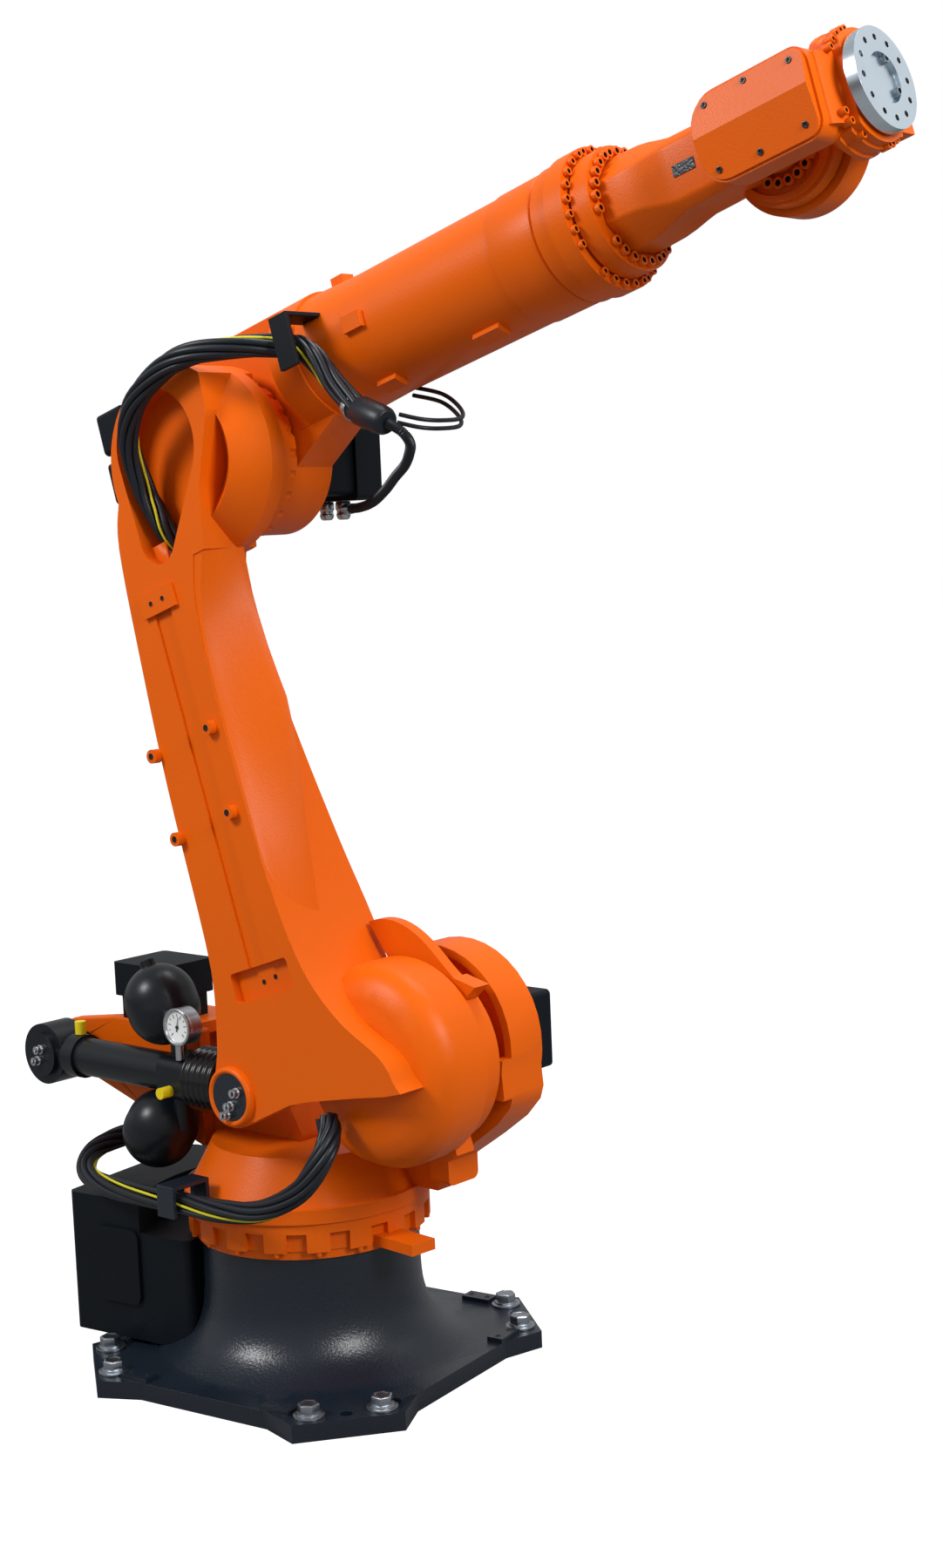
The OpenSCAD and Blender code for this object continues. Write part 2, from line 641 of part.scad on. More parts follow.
// Upper arm: housing about the elbow, tube and end flange, drawn from the elbow axis
housing_r = 122;
housing_back = 205;
housing_front = 255;
hub_share = 0.7;
leg_share = [0.92, -0.39];
housing_cut = 190;
module arm_housing() color(orange) in_arm() {
    along_y(-elbow_face + run_gap, -elbow_face + clear_gap + over, elbow_ring_r * hub_share);
    along_y(-elbow_face + clear_gap, elbow_far, elbow_drum_r);
    // Flat side past the link's head, and a seat for the elbow motor
    difference() {
        translate([0, 0, arm_rise]) along_x(-housing_back, housing_front, housing_r);
        span([-housing_back - over, -housing_r - over, -housing_r], [housing_cut, -elbow_face + clear_gap,
            arm_rise + housing_r + over]);
        rotate([0, arm_pitch, 0]) translate([elbow_motor_at[0], elbow_far, elbow_motor_at[1]])
            rotate([-90, 0, 0]) linear_extrude(housing_r) square([elbow_motor_size[0] + 2 * seat,
                elbow_motor_size[1] + 2 * seat], center = true);
    }
    plate_y(-elbow_face + clear_gap + over, elbow_far - over) polygon([[-housing_back, arm_rise],
        [-elbow_drum_r, 0], leg_share * elbow_drum_r, [housing_front, arm_rise - tube_r],
        [housing_front, arm_rise]]);
}
end_flange_x = arm_len - fore_len;
end_flange_t = 37;
tube_neck_x = end_flange_x - end_flange_t;
tube_collar = 38;
tube_step_x = tube_neck_x - tube_collar;
tube_step = 5;
tube_pads = [[402, 178, 46], [399, 245, 46], [640, 245, 60]];
pad_w = 30;
pad_rise = 9;
lug_h = 20;
lug_x = 285;
module tube_skin(r) turned_x() polygon([[0, housing_front], [r + tube_step, housing_front],
    [r, housing_front + housing_r], [r, tube_step_x], [r + tube_step, tube_step_x + tube_step],
    [r + tube_step, tube_neck_x], [0, tube_neck_x]]);
module arm_tube() color(orange) in_arm() translate([0, 0, arm_rise]) {
    tube_skin(tube_r);
    for (p = tube_pads) translate([p[0], 0, 0]) rotate([p[1] - 90, 0, 0])
        span([-p[2] / 2, -pad_w / 2, tube_r - pad_rise], [p[2] / 2, pad_w / 2, tube_r + pad_rise]);
    span([lug_x, -pad_w / 2, tube_r - pad_rise], [lug_x + pad_w, pad_w / 2, tube_r + lug_h]);
}
module end_flange() color(orange) in_arm() translate([0, 0, arm_rise])
    along_x(tube_neck_x, end_flange_x, end_flange_r);

// Motors and cable fittings on the upper arm; the elbow motor stands level
elbow_motor_size = [140, 140, 160];
elbow_motor_at = [42, -10];
module level_arm() in_arm() rotate([0, arm_pitch, 0]) children();
module elbow_motor() color(dark) level_arm() translate([elbow_motor_at[0], elbow_far, elbow_motor_at[1]])
    rotate([-90, 0, 0]) motor_block(elbow_motor_size, motor_cap * 2);
connector_r = 12;
connector_h = 30;
connector_gap = 45;
connector_x = 32;
connector_y = 50;
connector_turn = -23;
connector_reach = 42;
module motor_connectors() color(steel) level_arm() for (k = [-1, 1])
    translate([connector_x + k * connector_gap / 2, elbow_far + elbow_motor_size[2] - connector_y,
        elbow_motor_at[1] - elbow_motor_size[1] / 2 - connector_h]) {
        cylinder(h = connector_h, r = connector_r);
        if (k > 0) translate([0, 0, connector_r + over]) rotate([0, 90, connector_turn])
            cylinder(h = connector_reach, r = connector_r - over);
    }
rear_motor_size = [84, 84, 178];
rear_motor_places = [[-4, 62], [82, -8], [-4, -38]];
module rear_motors() color(dark) in_arm() for (p = rear_motor_places)
    translate([-housing_back, p[0], arm_rise + p[1]]) rotate([0, -90, 0])
        motor_block(rear_motor_size, motor_cap * 2);
bracket_x = 300;
cable_bracket_w = 44;
cable_bracket_reach = 68;
cable_bracket_foot = 40;
module cable_bracket() color(dark) in_arm() difference() {
    union() {
        span([bracket_x - cable_bracket_w / 2, -housing_r - cable_bracket_reach, arm_rise - cable_bracket_w],
            [bracket_x + cable_bracket_w / 2, -housing_r - cable_bracket_reach + cable_arm_t,
            arm_rise + cable_bracket_w]);
        span([bracket_x - cable_bracket_w / 2, -housing_r - cable_bracket_reach, arm_rise + cable_bracket_w],
            [bracket_x + cable_bracket_w / 2, -housing_r + cable_bracket_foot,
            arm_rise + cable_bracket_w + cable_arm_t]);
    }
    translate([0, 0, arm_rise]) tube_skin(tube_r + seat);
}

// Forearm: bolted flange, tapered faceted tube and wrist disc
flange_depth = 42;
fore_hub_share = 0.72;
fore_sides = 12;
fore_root = 78;
module forearm_flange() color(orange) in_arm() translate([0, 0, arm_rise]) {
    along_x(end_flange_x + run_gap, end_flange_x + clear_gap + over, fore_flange_r * fore_hub_share);
    along_x(end_flange_x + clear_gap, end_flange_x + flange_depth, fore_flange_r);
}
taper_shares = [0, 0.176, 0.334, 0.457, 1];
taper_wide_shares = [1.42, 1.25, 1.16, 1, 1];
taper_tall_shares = [1, 0.88, 0.79, 0.615, 0.615];
function fore_ring(x, wide, tall) = [for (k = [0 : fore_sides - 1])
    let (a = 360 / fore_sides * (k + 0.5)) [x, wide * cos(a) / cos(180 / fore_sides),
        tall * sin(a) / cos(180 / fore_sides)]];
fore_end = 30;
module forearm() color(orange) in_arm() translate([0, 0, arm_rise]) difference() {
    loft([for (k = [0 : len(taper_shares) - 1]) fore_ring(end_flange_x + flange_depth
        + taper_shares[k] * (fore_len - fore_end - flange_depth), fore_half * taper_wide_shares[k],
        fore_root * taper_tall_shares[k])]);
    translate([arm_len, 0, 0]) {
        along_y(-arm_len, arm_len, disc_hub_r + seat);
        along_y(disc_face - disc_rim_h - seat, arm_len, wrist_disc_r + seat);
    }
}
disc_hub_r = 52;
disc_face = 30;
disc_rim_h = 8;
disc_rim_r = [86, 96];
module wrist_disc() color(orange) in_hand() turned_y() polygon([[0, -fore_half], [disc_hub_r, -fore_half],
    [disc_hub_r, disc_face], [disc_rim_r[0], disc_face], [disc_rim_r[0], disc_face - disc_rim_h],
    [disc_rim_r[1], disc_face - disc_rim_h], [disc_rim_r[1], disc_face], [wrist_disc_r, disc_face],
    [wrist_disc_r, fore_half], [0, fore_half]]);
label_size = [42, 18];
label_t = 1.5;
label_back = 126;
module label_plate() color(dark) in_hand() translate([-label_back, 0, 0])
    plate_y(-fore_half - label_t, -fore_half) square(label_size, center = true);

// Hand: near cheek with its creased cover, neck, far drum, stepped gear housing and tool flange
cover_low = [-52, -72];
cover_high = [158, 63];
cover_round = [44, 24];
cover_lip = 4;
cover_edge = 4;
crease_z = 3;
corner_steps = 6;
neck_shares = [[0.5, -0.47], [0.7, -0.49], [0.765, -0.45], [0.79, -0.38], [0.81, -0.284], [0.5, -0.284]];
neck_z = [-60, 52];
gear_back = 110;
gear_front = 9;
gear_housing_r = 97;
gear_root_r = 62;
gear_steps = [150, 172];
gear_step = 4;
far_drum_t = 52;
function corner(c, r, from) = [for (k = [0 : corner_steps]) c + r * [cos(from + 90 * k / corner_steps),
    sin(from + 90 * k / corner_steps)]];
module near_outline(grow) polygon(concat(
    corner([cover_high[0] - cover_round[1], cover_high[1] - cover_round[1]], cover_round[1] + grow, 0),
    corner([cover_low[0] + cover_round[0], cover_high[1] - cover_round[0]], cover_round[0] + grow, 90),
    corner([cover_low[0] + cover_round[0], cover_low[1] + cover_round[0]], cover_round[0] + grow, 180),
    corner([cover_high[0] - cover_round[1], cover_low[1] + cover_round[1]], cover_round[1] + grow, 270)));
module hand_housing() color(orange) in_hand() {
    plate_y(-hand_near, -fore_half - clear_gap) near_outline(cover_lip);
    translate([0, 0, neck_z[0]]) linear_extrude(neck_z[1] - neck_z[0]) polygon(scaled(neck_shares, hand_len));
    along_y(-fore_half - clear_gap - over, -fore_half - run_gap, wrist_disc_r * fore_hub_share);
    along_y(fore_half + clear_gap, fore_half + clear_gap + far_drum_t, far_drum_r);
    along_y(fore_half + run_gap, fore_half + clear_gap + over, wrist_disc_r * fore_hub_share);
    span([0, fore_half + clear_gap + over, -gear_root_r], [hand_len - gear_front - flange_t - clear_gap,
        fore_half + clear_gap + far_drum_t - over, gear_root_r]);
}
module hand_cover() color(orange) in_hand() intersection() {
    plate_y(-hand_near - cover_t, -hand_near) near_outline(0);
    plate_x(cover_low[0] - over, cover_high[0] + over) polygon([[-hand_near + over, cover_low[1] - over],
        [-hand_near + over, cover_high[1] + over], [-hand_near - cover_edge, cover_high[1] + over],
        [-hand_near - cover_t, crease_z], [-hand_near - cover_edge, cover_low[1] - over]]);
}
module hand_gear_housing() color(orange) in_hand() difference() {
    turned_x() polygon([[0, gear_back], [gear_root_r, gear_back],
        [gear_housing_r, gear_back + gear_root_r / 2], [gear_housing_r, gear_steps[0]],
        [gear_housing_r - gear_step, gear_steps[0] + over],
        [gear_housing_r - gear_step, gear_steps[1]], [gear_housing_r - 2 * gear_step, gear_steps[1] + over],
        [gear_housing_r - 2 * gear_step, hand_len - flange_t - clear_gap], [flange_r * fore_hub_share,
        hand_len - flange_t - clear_gap], [flange_r * fore_hub_share, hand_len - flange_t - run_gap],
        [0, hand_len - flange_t - run_gap]]);
    span([0, -hand_len, -hand_len], [hand_len, -fore_half - clear_gap + seat, hand_len]);
    span([0, fore_half + clear_gap - seat, -hand_len], [hand_len, hand_len, hand_len]);
}
flange_holes = 12;
recess_share = 0.5;
flange_recess = 7;
hole_turn = -28;
module tool_flange() color(steel) in_hand() difference() {
    along_x(hand_len - flange_t, hand_len, flange_r);
    along_x(hand_len - flange_recess, hand_len + over, flange_r * recess_share);
    for (k = [0 : flange_holes - 1]) rotate([hole_turn + 360 / flange_holes * k, 0, 0])
        translate([0, 0, flange_pcd / 2]) along_x(hand_len - flange_t - over, hand_len + over, flange_hole_r);
}

// Cable routes, in the column's frame and in the arm's frame
shoulder_route = [[-424, -94, 402], [-424, -140, 398], [-418, -190, 386], [-386, -232, 370],
    [-320, -260, 362], [-220, -276, 362], [-60, -290, 372], [70, -292, 376], [180, -290, 394],
    [262, -276, 440], [296, -250, 500], [288, -220, 536], [270, -208, 558]];
elbow_route = [[-105, -200, -66], [-112, -212, -14], [-92, -238, 63], [-34, -258, 118], [55, -262, 148],
    [131, -254, 154], [207, -216, 142], [262, -156, 126], [300, -150, 108], [326, -146, 76], [348, -140, 24],
    [388, -136, -36]];
hose_route = [[452, -146, -80], [472, -138, -104], [466, -118, -122], [437, -95, -133], [391, -60, -137],
    [327, -20, -138], [257, 25, -140], [174, 75, -138], [102, 117, -126], [66, 133, -117]];
sensor_route = [[452, -121, -80], [480, -100, -98], [492, -62, -104], [484, 0, -96], [462, 30, -70],
    [420, 44, -30], [362, 41.7, 2.7]];
shoulder_cable_r = 22;
elbow_cable_r = 22;
hose_r = 10;
sensor_r = 8;
splitter_r = 26;
module shoulder_cables() color(dark) in_column() swept(smooth(shoulder_route), shoulder_cable_r);
module elbow_cables() color(dark) in_arm() swept(smooth(elbow_route), elbow_cable_r);
module cable_splitter() color(dark) in_arm()
    swept([elbow_route[len(elbow_route) - 1], hose_route[0]], splitter_r);
module elbow_hose() color(dark) in_arm() swept(smooth(hose_route), hose_r);
module sensor_cables() color(dark) in_arm() swept(smooth(sensor_route), sensor_r);

foot_casting();
connection_box();
connection_panel();
column_ring();
rotating_column();
rear_bracket();
column_motor();
shoulder_motor();
cable_arm();
counterbalance_barrel();
accumulators();
pressure_gauge();
valve_caps();
counterbalance_bellows();
piston_rod();
link_arm();
shoulder_fin();
pin_cover();
elbow_ring();
arm_housing();
arm_tube();
end_flange();
elbow_motor();
motor_connectors();
rear_motors();
cable_bracket();
cable_splitter();
forearm_flange();
forearm();
wrist_disc();
label_plate();
hand_housing();
hand_cover();
hand_gear_housing();
tool_flange();
shoulder_cables();
elbow_cables();
elbow_hose();
sensor_cables();
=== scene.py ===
import math
import bpy
from mathutils import Matrix, Vector


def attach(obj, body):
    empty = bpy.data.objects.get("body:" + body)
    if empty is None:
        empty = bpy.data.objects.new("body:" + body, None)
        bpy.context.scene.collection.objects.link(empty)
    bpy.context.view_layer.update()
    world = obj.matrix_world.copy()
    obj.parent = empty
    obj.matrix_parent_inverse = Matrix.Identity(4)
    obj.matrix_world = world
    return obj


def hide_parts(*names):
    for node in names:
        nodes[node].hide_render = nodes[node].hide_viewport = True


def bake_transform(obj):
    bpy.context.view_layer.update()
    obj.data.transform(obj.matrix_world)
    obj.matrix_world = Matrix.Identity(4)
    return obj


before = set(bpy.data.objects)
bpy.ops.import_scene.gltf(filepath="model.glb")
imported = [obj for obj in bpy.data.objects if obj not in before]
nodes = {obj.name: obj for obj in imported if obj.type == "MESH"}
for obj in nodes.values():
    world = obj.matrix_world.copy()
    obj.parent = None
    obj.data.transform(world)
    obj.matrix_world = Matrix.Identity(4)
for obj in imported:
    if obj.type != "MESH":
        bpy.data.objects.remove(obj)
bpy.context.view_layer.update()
print("frame loaded:", len(nodes), "nodes")

# the arm's resting pose, in metres and degrees
armPose = {
    "columnTurn": -7.6, "linkLean": 17.7, "armPitch": 15.4,
    "shoulder": (0.330, 0, 0.645), "linkLength": 1.150,
    "armRise": 0.115, "armLength": 1.220,
    "rearPivot": (-0.555, -0.155, 0.572),
}


def turn(degrees, axis):
    return Matrix.Rotation(math.radians(degrees), 4, axis)


def shift(x, y, z):
    return Matrix.Translation((x, y, z))


columnFrame = turn(armPose["columnTurn"], "Z")
linkFrame = columnFrame @ shift(*armPose["shoulder"]) @ turn(-armPose["linkLean"], "Y")
elbowBend = armPose["linkLean"] - armPose["armPitch"]
armFrame = linkFrame @ shift(0, 0, armPose["linkLength"]) @ turn(elbowBend, "Y")
tubeFrame = armFrame @ shift(0, 0, armPose["armRise"])
handFrame = tubeFrame @ shift(armPose["armLength"], 0, 0)
balanceFrame = columnFrame @ shift(*armPose["rearPivot"])

# camera at the photograph's view
cameraSetup = {
    "place": (2.6921, -3.4027, 1.6013), "heading": 123.73, "pitch": -6.44, "roll": -2.38,
    "lens": 52.318, "sensor": 36,
}


def addCamera(c):
    heading, pitch, roll = (math.radians(c[k]) for k in ("heading", "pitch", "roll"))
    level = math.cos(pitch)
    forward = Vector((math.cos(heading) * level, math.sin(heading) * level, math.sin(pitch)))
    right = Vector((math.sin(heading), -math.cos(heading), 0))
    up = right.cross(forward)
    right, up = (right * math.cos(roll) + up * math.sin(roll), up * math.cos(roll) - right * math.sin(roll))
    data = bpy.data.cameras.new("photoCamera")
    data.lens, data.sensor_width = c["lens"], c["sensor"]
    camera = bpy.data.objects.new("photoCamera", data)
    bpy.context.scene.collection.objects.link(camera)
    camera.matrix_world = Matrix((right, up, -forward)).transposed().to_4x4()
    camera.location = c["place"]
    bpy.context.scene.camera = camera


addCamera(cameraSetup)

# studio: pale floor, white surroundings, three soft lamps and a weak one for the tool flange
studio = {
    "floorSize": 60, "floorColour": (0.22, 0.22, 0.22, 1), "floorGlow": 0.93, "floorRoughness": 0.9,
    "floorSpecular": 0.1, "fillStrength": 0.44, "backdropStrength": 1.0,
    "lamps": [  # place, aim, watts, size
        ((4.6, -1.2, 3.8), (0.2, 0, 1.2), 185, 1.8),
        ((-2.3, -3.8, 4.4), (0.2, 0, 1.1), 190, 1.5),
        ((0.4, 1.0, 5.5), (0.1, 0, 1.0), 120, 2.4),
        ((2.6, 2.4, 3.9), (1.3, -0.2, 2.2), 6, 2.2),
    ],
}


def deselectAll():
    if bpy.context.object and bpy.context.object.mode != "OBJECT":
        bpy.ops.object.mode_set(mode="OBJECT")
    bpy.ops.object.select_all(action="DESELECT")


def useObject(piece):
    deselectAll()
    piece.select_set(True)
    bpy.context.view_layer.objects.active = piece


def addStudio(s):
    deselectAll()
    bpy.ops.mesh.primitive_plane_add(size=s["floorSize"])
    floor = bpy.context.object
    floor.name = "studioFloor"
    paint = bpy.data.materials.new("floorPaper")
    paint.use_nodes = True
    paper, sight = paint.node_tree.nodes["Principled BSDF"], paint.node_tree.nodes.new("ShaderNodeLightPath")
    paper.inputs["Base Color"].default_value = s["floorColour"]
    paper.inputs["Roughness"].default_value = s["floorRoughness"]
    paper.inputs["Specular IOR Level"].default_value = s["floorSpecular"]
    paper.inputs["Emission Color"].default_value = (s["floorGlow"],) * 3 + (1,)
    paint.node_tree.links.new(sight.outputs["Is Camera Ray"], paper.inputs["Emission Strength"])
    floor.data.materials.append(paint)
    world = bpy.data.worlds.new("studioWorld")
    world.use_nodes = True
    tree = world.node_tree
    backdrop, fill = tree.nodes["Background"], tree.nodes.new("ShaderNodeBackground")
    backdrop.inputs["Strength"].default_value = s["backdropStrength"]
    fill.inputs["Strength"].default_value = s["fillStrength"]
    seen, mix = tree.nodes.new("ShaderNodeLightPath"), tree.nodes.new("ShaderNodeMixShader")
    for background in (backdrop, fill):
        background.inputs["Color"].default_value = (1, 1, 1, 1)
    tree.links.new(seen.outputs["Is Camera Ray"], mix.inputs["Fac"])
    tree.links.new(fill.outputs["Background"], mix.inputs[1])
    tree.links.new(backdrop.outputs["Background"], mix.inputs[2])
    tree.links.new(mix.outputs["Shader"], tree.nodes["World Output"].inputs["Surface"])
    bpy.context.scene.world = world
    for k, (place, aim, watts, size) in enumerate(s["lamps"]):
        data = bpy.data.lights.new(f"softLamp{k}", "AREA")
        data.energy, data.size = watts, size
        lamp = bpy.data.objects.new(f"softLamp{k}", data)
        bpy.context.scene.collection.objects.link(lamp)
        lamp.location = place
        lamp.rotation_euler = (Vector(aim) - Vector(place)).to_track_quat("-Z", "Y").to_euler()
    bpy.context.scene.view_settings.view_transform = "Standard"


addStudio(studio)
print("camera and studio placed")

# shared surface effects, one node group each


def newGroup(name, inputs, outputs):
    group = bpy.data.node_groups.new(name, "ShaderNodeTree")
    for label, value in inputs:
        group.interface.new_socket(label, in_out="INPUT", socket_type="NodeSocketFloat").default_value = value
    for label, kind in outputs:
        group.interface.new_socket(label, in_out="OUTPUT", socket_type=kind)
    return group, group.nodes.new("NodeGroupInput"), group.nodes.new("NodeGroupOutput")


def buildSprayGrain():
    # fine spray texture for bump, and slow patches for colour and gloss
    group, given, result = newGroup("sprayGrain", [("Grain", 420), ("Patch", 3)],
                                    [("Height", "NodeSocketFloat"), ("Patches", "NodeSocketFloat")])
    place = group.nodes.new("ShaderNodeTexCoord")
    for label, source, target, detail in (("grain", "Grain", "Height", 2), ("patch", "Patch", "Patches", 5)):
        noise = group.nodes.new("ShaderNodeTexNoise")
        noise.name = label
        noise.inputs["Detail"].default_value = detail
        group.links.new(place.outputs["Object"], noise.inputs["Vector"])
        group.links.new(given.outputs[source], noise.inputs["Scale"])
        group.links.new(noise.outputs["Fac"], result.inputs[target])
    return group


sprayGrain = buildSprayGrain()
surfaceSetup = {"glossSpread": 0.07, "bumpDepth": 0.002}


def finish(name, light, dark, roughness, grain=420, patch=3, bump=0.03, metallic=0.0, specular=0.3):
    # a painted or moulded surface: two close tones in patches, varied gloss and a fine bump
    material = bpy.data.materials.new(name)
    material.use_nodes = True
    tree = material.node_tree
    shader = tree.nodes["Principled BSDF"]
    shader.inputs["Metallic"].default_value = metallic
    shader.inputs["Specular IOR Level"].default_value = specular
    effect = tree.nodes.new("ShaderNodeGroup")
    effect.node_tree = sprayGrain
    effect.inputs["Grain"].default_value = grain
    effect.inputs["Patch"].default_value = patch
    tone = tree.nodes.new("ShaderNodeMix")
    tone.data_type = "RGBA"
    tone.inputs["A"].default_value = (*light, 1)
    tone.inputs["B"].default_value = (*dark, 1)
    tree.links.new(effect.outputs["Patches"], tone.inputs["Factor"])
    tree.links.new(tone.outputs["Result"], shader.inputs["Base Color"])
    gloss = tree.nodes.new("ShaderNodeMapRange")
    gloss.inputs["To Min"].default_value = roughness - surfaceSetup["glossSpread"]
    gloss.inputs["To Max"].default_value = roughness + surfaceSetup["glossSpread"]
    tree.links.new(effect.outputs["Patches"], gloss.inputs["Value"])
    tree.links.new(gloss.outputs["Result"], shader.inputs["Roughness"])
    ripple = tree.nodes.new("ShaderNodeBump")
    ripple.inputs["Strength"].default_value = bump
    ripple.inputs["Distance"].default_value = surfaceSetup["bumpDepth"]
    tree.links.new(effect.outputs["Height"], ripple.inputs["Height"])
    tree.links.new(ripple.outputs["Normal"], shader.inputs["Normal"])
    return material


finishValues = {
    "orangePaint": {"light": (0.80, 0.126, 0.002), "dark": (0.70, 0.104, 0.0015), "roughness": 0.37,
                    "grain": 320, "patch": 2.5, "bump": 0.18, "specular": 0.16},
    "blackPaint": {"light": (0.010, 0.016, 0.026), "dark": (0.006, 0.010, 0.017), "roughness": 0.29,
                   "grain": 210, "patch": 4, "bump": 0.36, "specular": 0.50},
    "tankPaint": {"light": (0.006, 0.009, 0.013), "dark": (0.004, 0.006, 0.009), "roughness": 0.32,
                  "grain": 260, "patch": 4, "bump": 0.06, "specular": 0.34},
    "motorPaint": {"light": (0.004, 0.007, 0.011), "dark": (0.003, 0.005, 0.008), "roughness": 0.50,
                   "grain": 380, "patch": 5, "bump": 0.14, "specular": 0.15},
    "cableSheath": {"light": (0.010, 0.014, 0.020), "dark": (0.006, 0.008, 0.012), "roughness": 0.40,
                    "grain": 500, "patch": 12, "bump": 0.05, "specular": 0.36},
    "glossRubber": {"light": (0.007, 0.008, 0.009), "dark": (0.005, 0.005, 0.006), "roughness": 0.20,
                    "grain": 300, "patch": 8, "bump": 0.04, "specular": 0.45},
    "brightSteel": {"light": (0.60, 0.62, 0.65), "dark": (0.46, 0.48, 0.51), "roughness": 0.28,
                    "grain": 700, "patch": 14, "bump": 0.05, "metallic": 1},
    "boltSteel": {"light": (0.44, 0.48, 0.53), "dark": (0.30, 0.33, 0.37), "roughness": 0.30, "grain": 600,
                  "patch": 20, "bump": 0.05, "metallic": 1},
    # painted shade: the dark finish inside screw sockets, shallow holes and bores stands in for the shade
    # there
    "paintedSocketShade": {"light": (0.020, 0.012, 0.009), "dark": (0.012, 0.008, 0.006), "roughness": 0.60,
                   "grain": 500, "patch": 20, "bump": 0.05, "specular": 0.2},
    "yellowCap": {"light": (0.86, 0.66, 0.01), "dark": (0.74, 0.55, 0.01), "roughness": 0.38, "grain": 500,
                  "patch": 20, "bump": 0.04},
    "yellowWire": {"light": (0.72, 0.62, 0.02), "dark": (0.52, 0.50, 0.03), "roughness": 0.40, "grain": 500,
                   "patch": 30, "bump": 0.04},
    "whiteDial": {"light": (0.84, 0.85, 0.84), "dark": (0.78, 0.79, 0.79), "roughness": 0.45, "grain": 500,
                  "patch": 30, "bump": 0.02},
    "flangeSteel": {"light": (0.70, 0.80, 0.88), "dark": (0.58, 0.68, 0.76), "roughness": 0.22,
                    "grain": 520, "patch": 10, "bump": 0.05, "metallic": 1},
}
finishes = {name: finish(name, **values) for name, values in finishValues.items()}
flangeRings = {"scale": 190, "waver": 0.2}


def addTurnedRings(material, centre, r):
    # a lathe-turned face: fine rings about the flange axis, in the bump
    tree = material.node_tree
    ripple = tree.nodes["Bump"]
    spot, local = tree.nodes.new("ShaderNodeTexCoord"), tree.nodes.new("ShaderNodeMapping")
    local.vector_type = "TEXTURE"
    local.inputs["Location"].default_value = centre.to_translation()
    local.inputs["Rotation"].default_value = centre.to_euler()
    rings = tree.nodes.new("ShaderNodeTexWave")
    rings.wave_type, rings.rings_direction = "RINGS", "X"
    rings.inputs["Scale"].default_value = r["scale"]
    rings.inputs["Distortion"].default_value = r["waver"]
    tree.links.new(spot.outputs["Object"], local.inputs["Vector"])
    tree.links.new(local.outputs["Vector"], rings.inputs["Vector"])
    tree.links.new(rings.outputs["Fac"], ripple.inputs["Height"])


addTurnedRings(finishes["flangeSteel"], handFrame, flangeRings)

orangeNodes = ("column_ring rotating_column rear_bracket link_arm shoulder_fin elbow_ring arm_housing "
               "arm_tube end_flange forearm_flange forearm wrist_disc hand_housing hand_cover "
               "hand_gear_housing").split()
nodeFinish = {name: "orangePaint" for name in orangeNodes}
nodeFinish.update({
    "foot_casting": "blackPaint", "connection_box": "motorPaint", "connection_panel": "motorPaint",
    "column_motor": "motorPaint", "shoulder_motor": "motorPaint", "elbow_motor": "motorPaint",
    "rear_motors": "motorPaint", "cable_arm": "blackPaint", "counterbalance_barrel": "tankPaint",
    "accumulators": "tankPaint", "pressure_gauge": "brightSteel", "valve_caps": "yellowCap",
    "counterbalance_bellows": "glossRubber", "piston_rod": "brightSteel", "pin_cover": "blackPaint",
    "motor_connectors": "brightSteel", "cable_bracket": "motorPaint", "cable_splitter": "cableSheath",
    "label_plate": "blackPaint", "tool_flange": "flangeSteel", "shoulder_cables": "cableSheath",
    "elbow_cables": "cableSheath", "elbow_hose": "cableSheath", "sensor_cables": "cableSheath",
})


def dress(piece, finishName):
    piece.data.materials.clear()
    piece.data.materials.append(finishes[finishName])
    return piece


# cast edges are eased with live modifiers, the CAD meshes stay as they are
easedEdges = {"link_arm": 0.010, "rotating_column": 0.008, "rear_bracket": 0.006, "foot_casting": 0.011,
              "arm_housing": 0.006, "hand_housing": 0.006, "hand_cover": 0.003, "connection_box": 0.006,
              "column_motor": 0.004, "shoulder_motor": 0.004, "elbow_motor": 0.004, "rear_motors": 0.003,
              "arm_tube": 0.003, "end_flange": 0.003, "forearm_flange": 0.003, "wrist_disc": 0.003,
              "hand_gear_housing": 0.004, "column_ring": 0.002, "shoulder_fin": 0.005, "tool_flange": 0.0015,
              "counterbalance_barrel": 0.004, "cable_arm": 0.0015, "cable_bracket": 0.0015}
edgeSetup = {"joinWithin": 0.0002, "segments": 3, "sharperThan": 38, "smoothUnder": 32}
crispNodes = {"hand_cover": 7}  # shallow creases that stay crisp, by angle


def easeEdges(node, width):
    weld = node.modifiers.new("joinTriangles", "WELD")
    weld.merge_threshold = edgeSetup["joinWithin"]
    bevel = node.modifiers.new("easedEdges", "BEVEL")
    bevel.width, bevel.segments, bevel.limit_method = width, edgeSetup["segments"], "ANGLE"
    bevel.angle_limit = math.radians(edgeSetup["sharperThan"])
    if node.name in crispNodes:
        split = node.modifiers.new("crispCrease", "EDGE_SPLIT")
        split.split_angle, split.use_edge_sharp = math.radians(crispNodes[node.name]), False
    flat = node.modifiers.new("flatFaces", "WEIGHTED_NORMAL")
    flat.keep_sharp = True


for name, node in nodes.items():
    dress(node, nodeFinish[name])
    if name in easedEdges:
        easeEdges(node, easedEdges[name])
    useObject(node)
    smoothUnder = crispNodes.get(name, edgeSetup["smoothUnder"])
    bpy.ops.object.shade_smooth_by_angle(angle=math.radians(smoothUnder))
print("frame dressed")

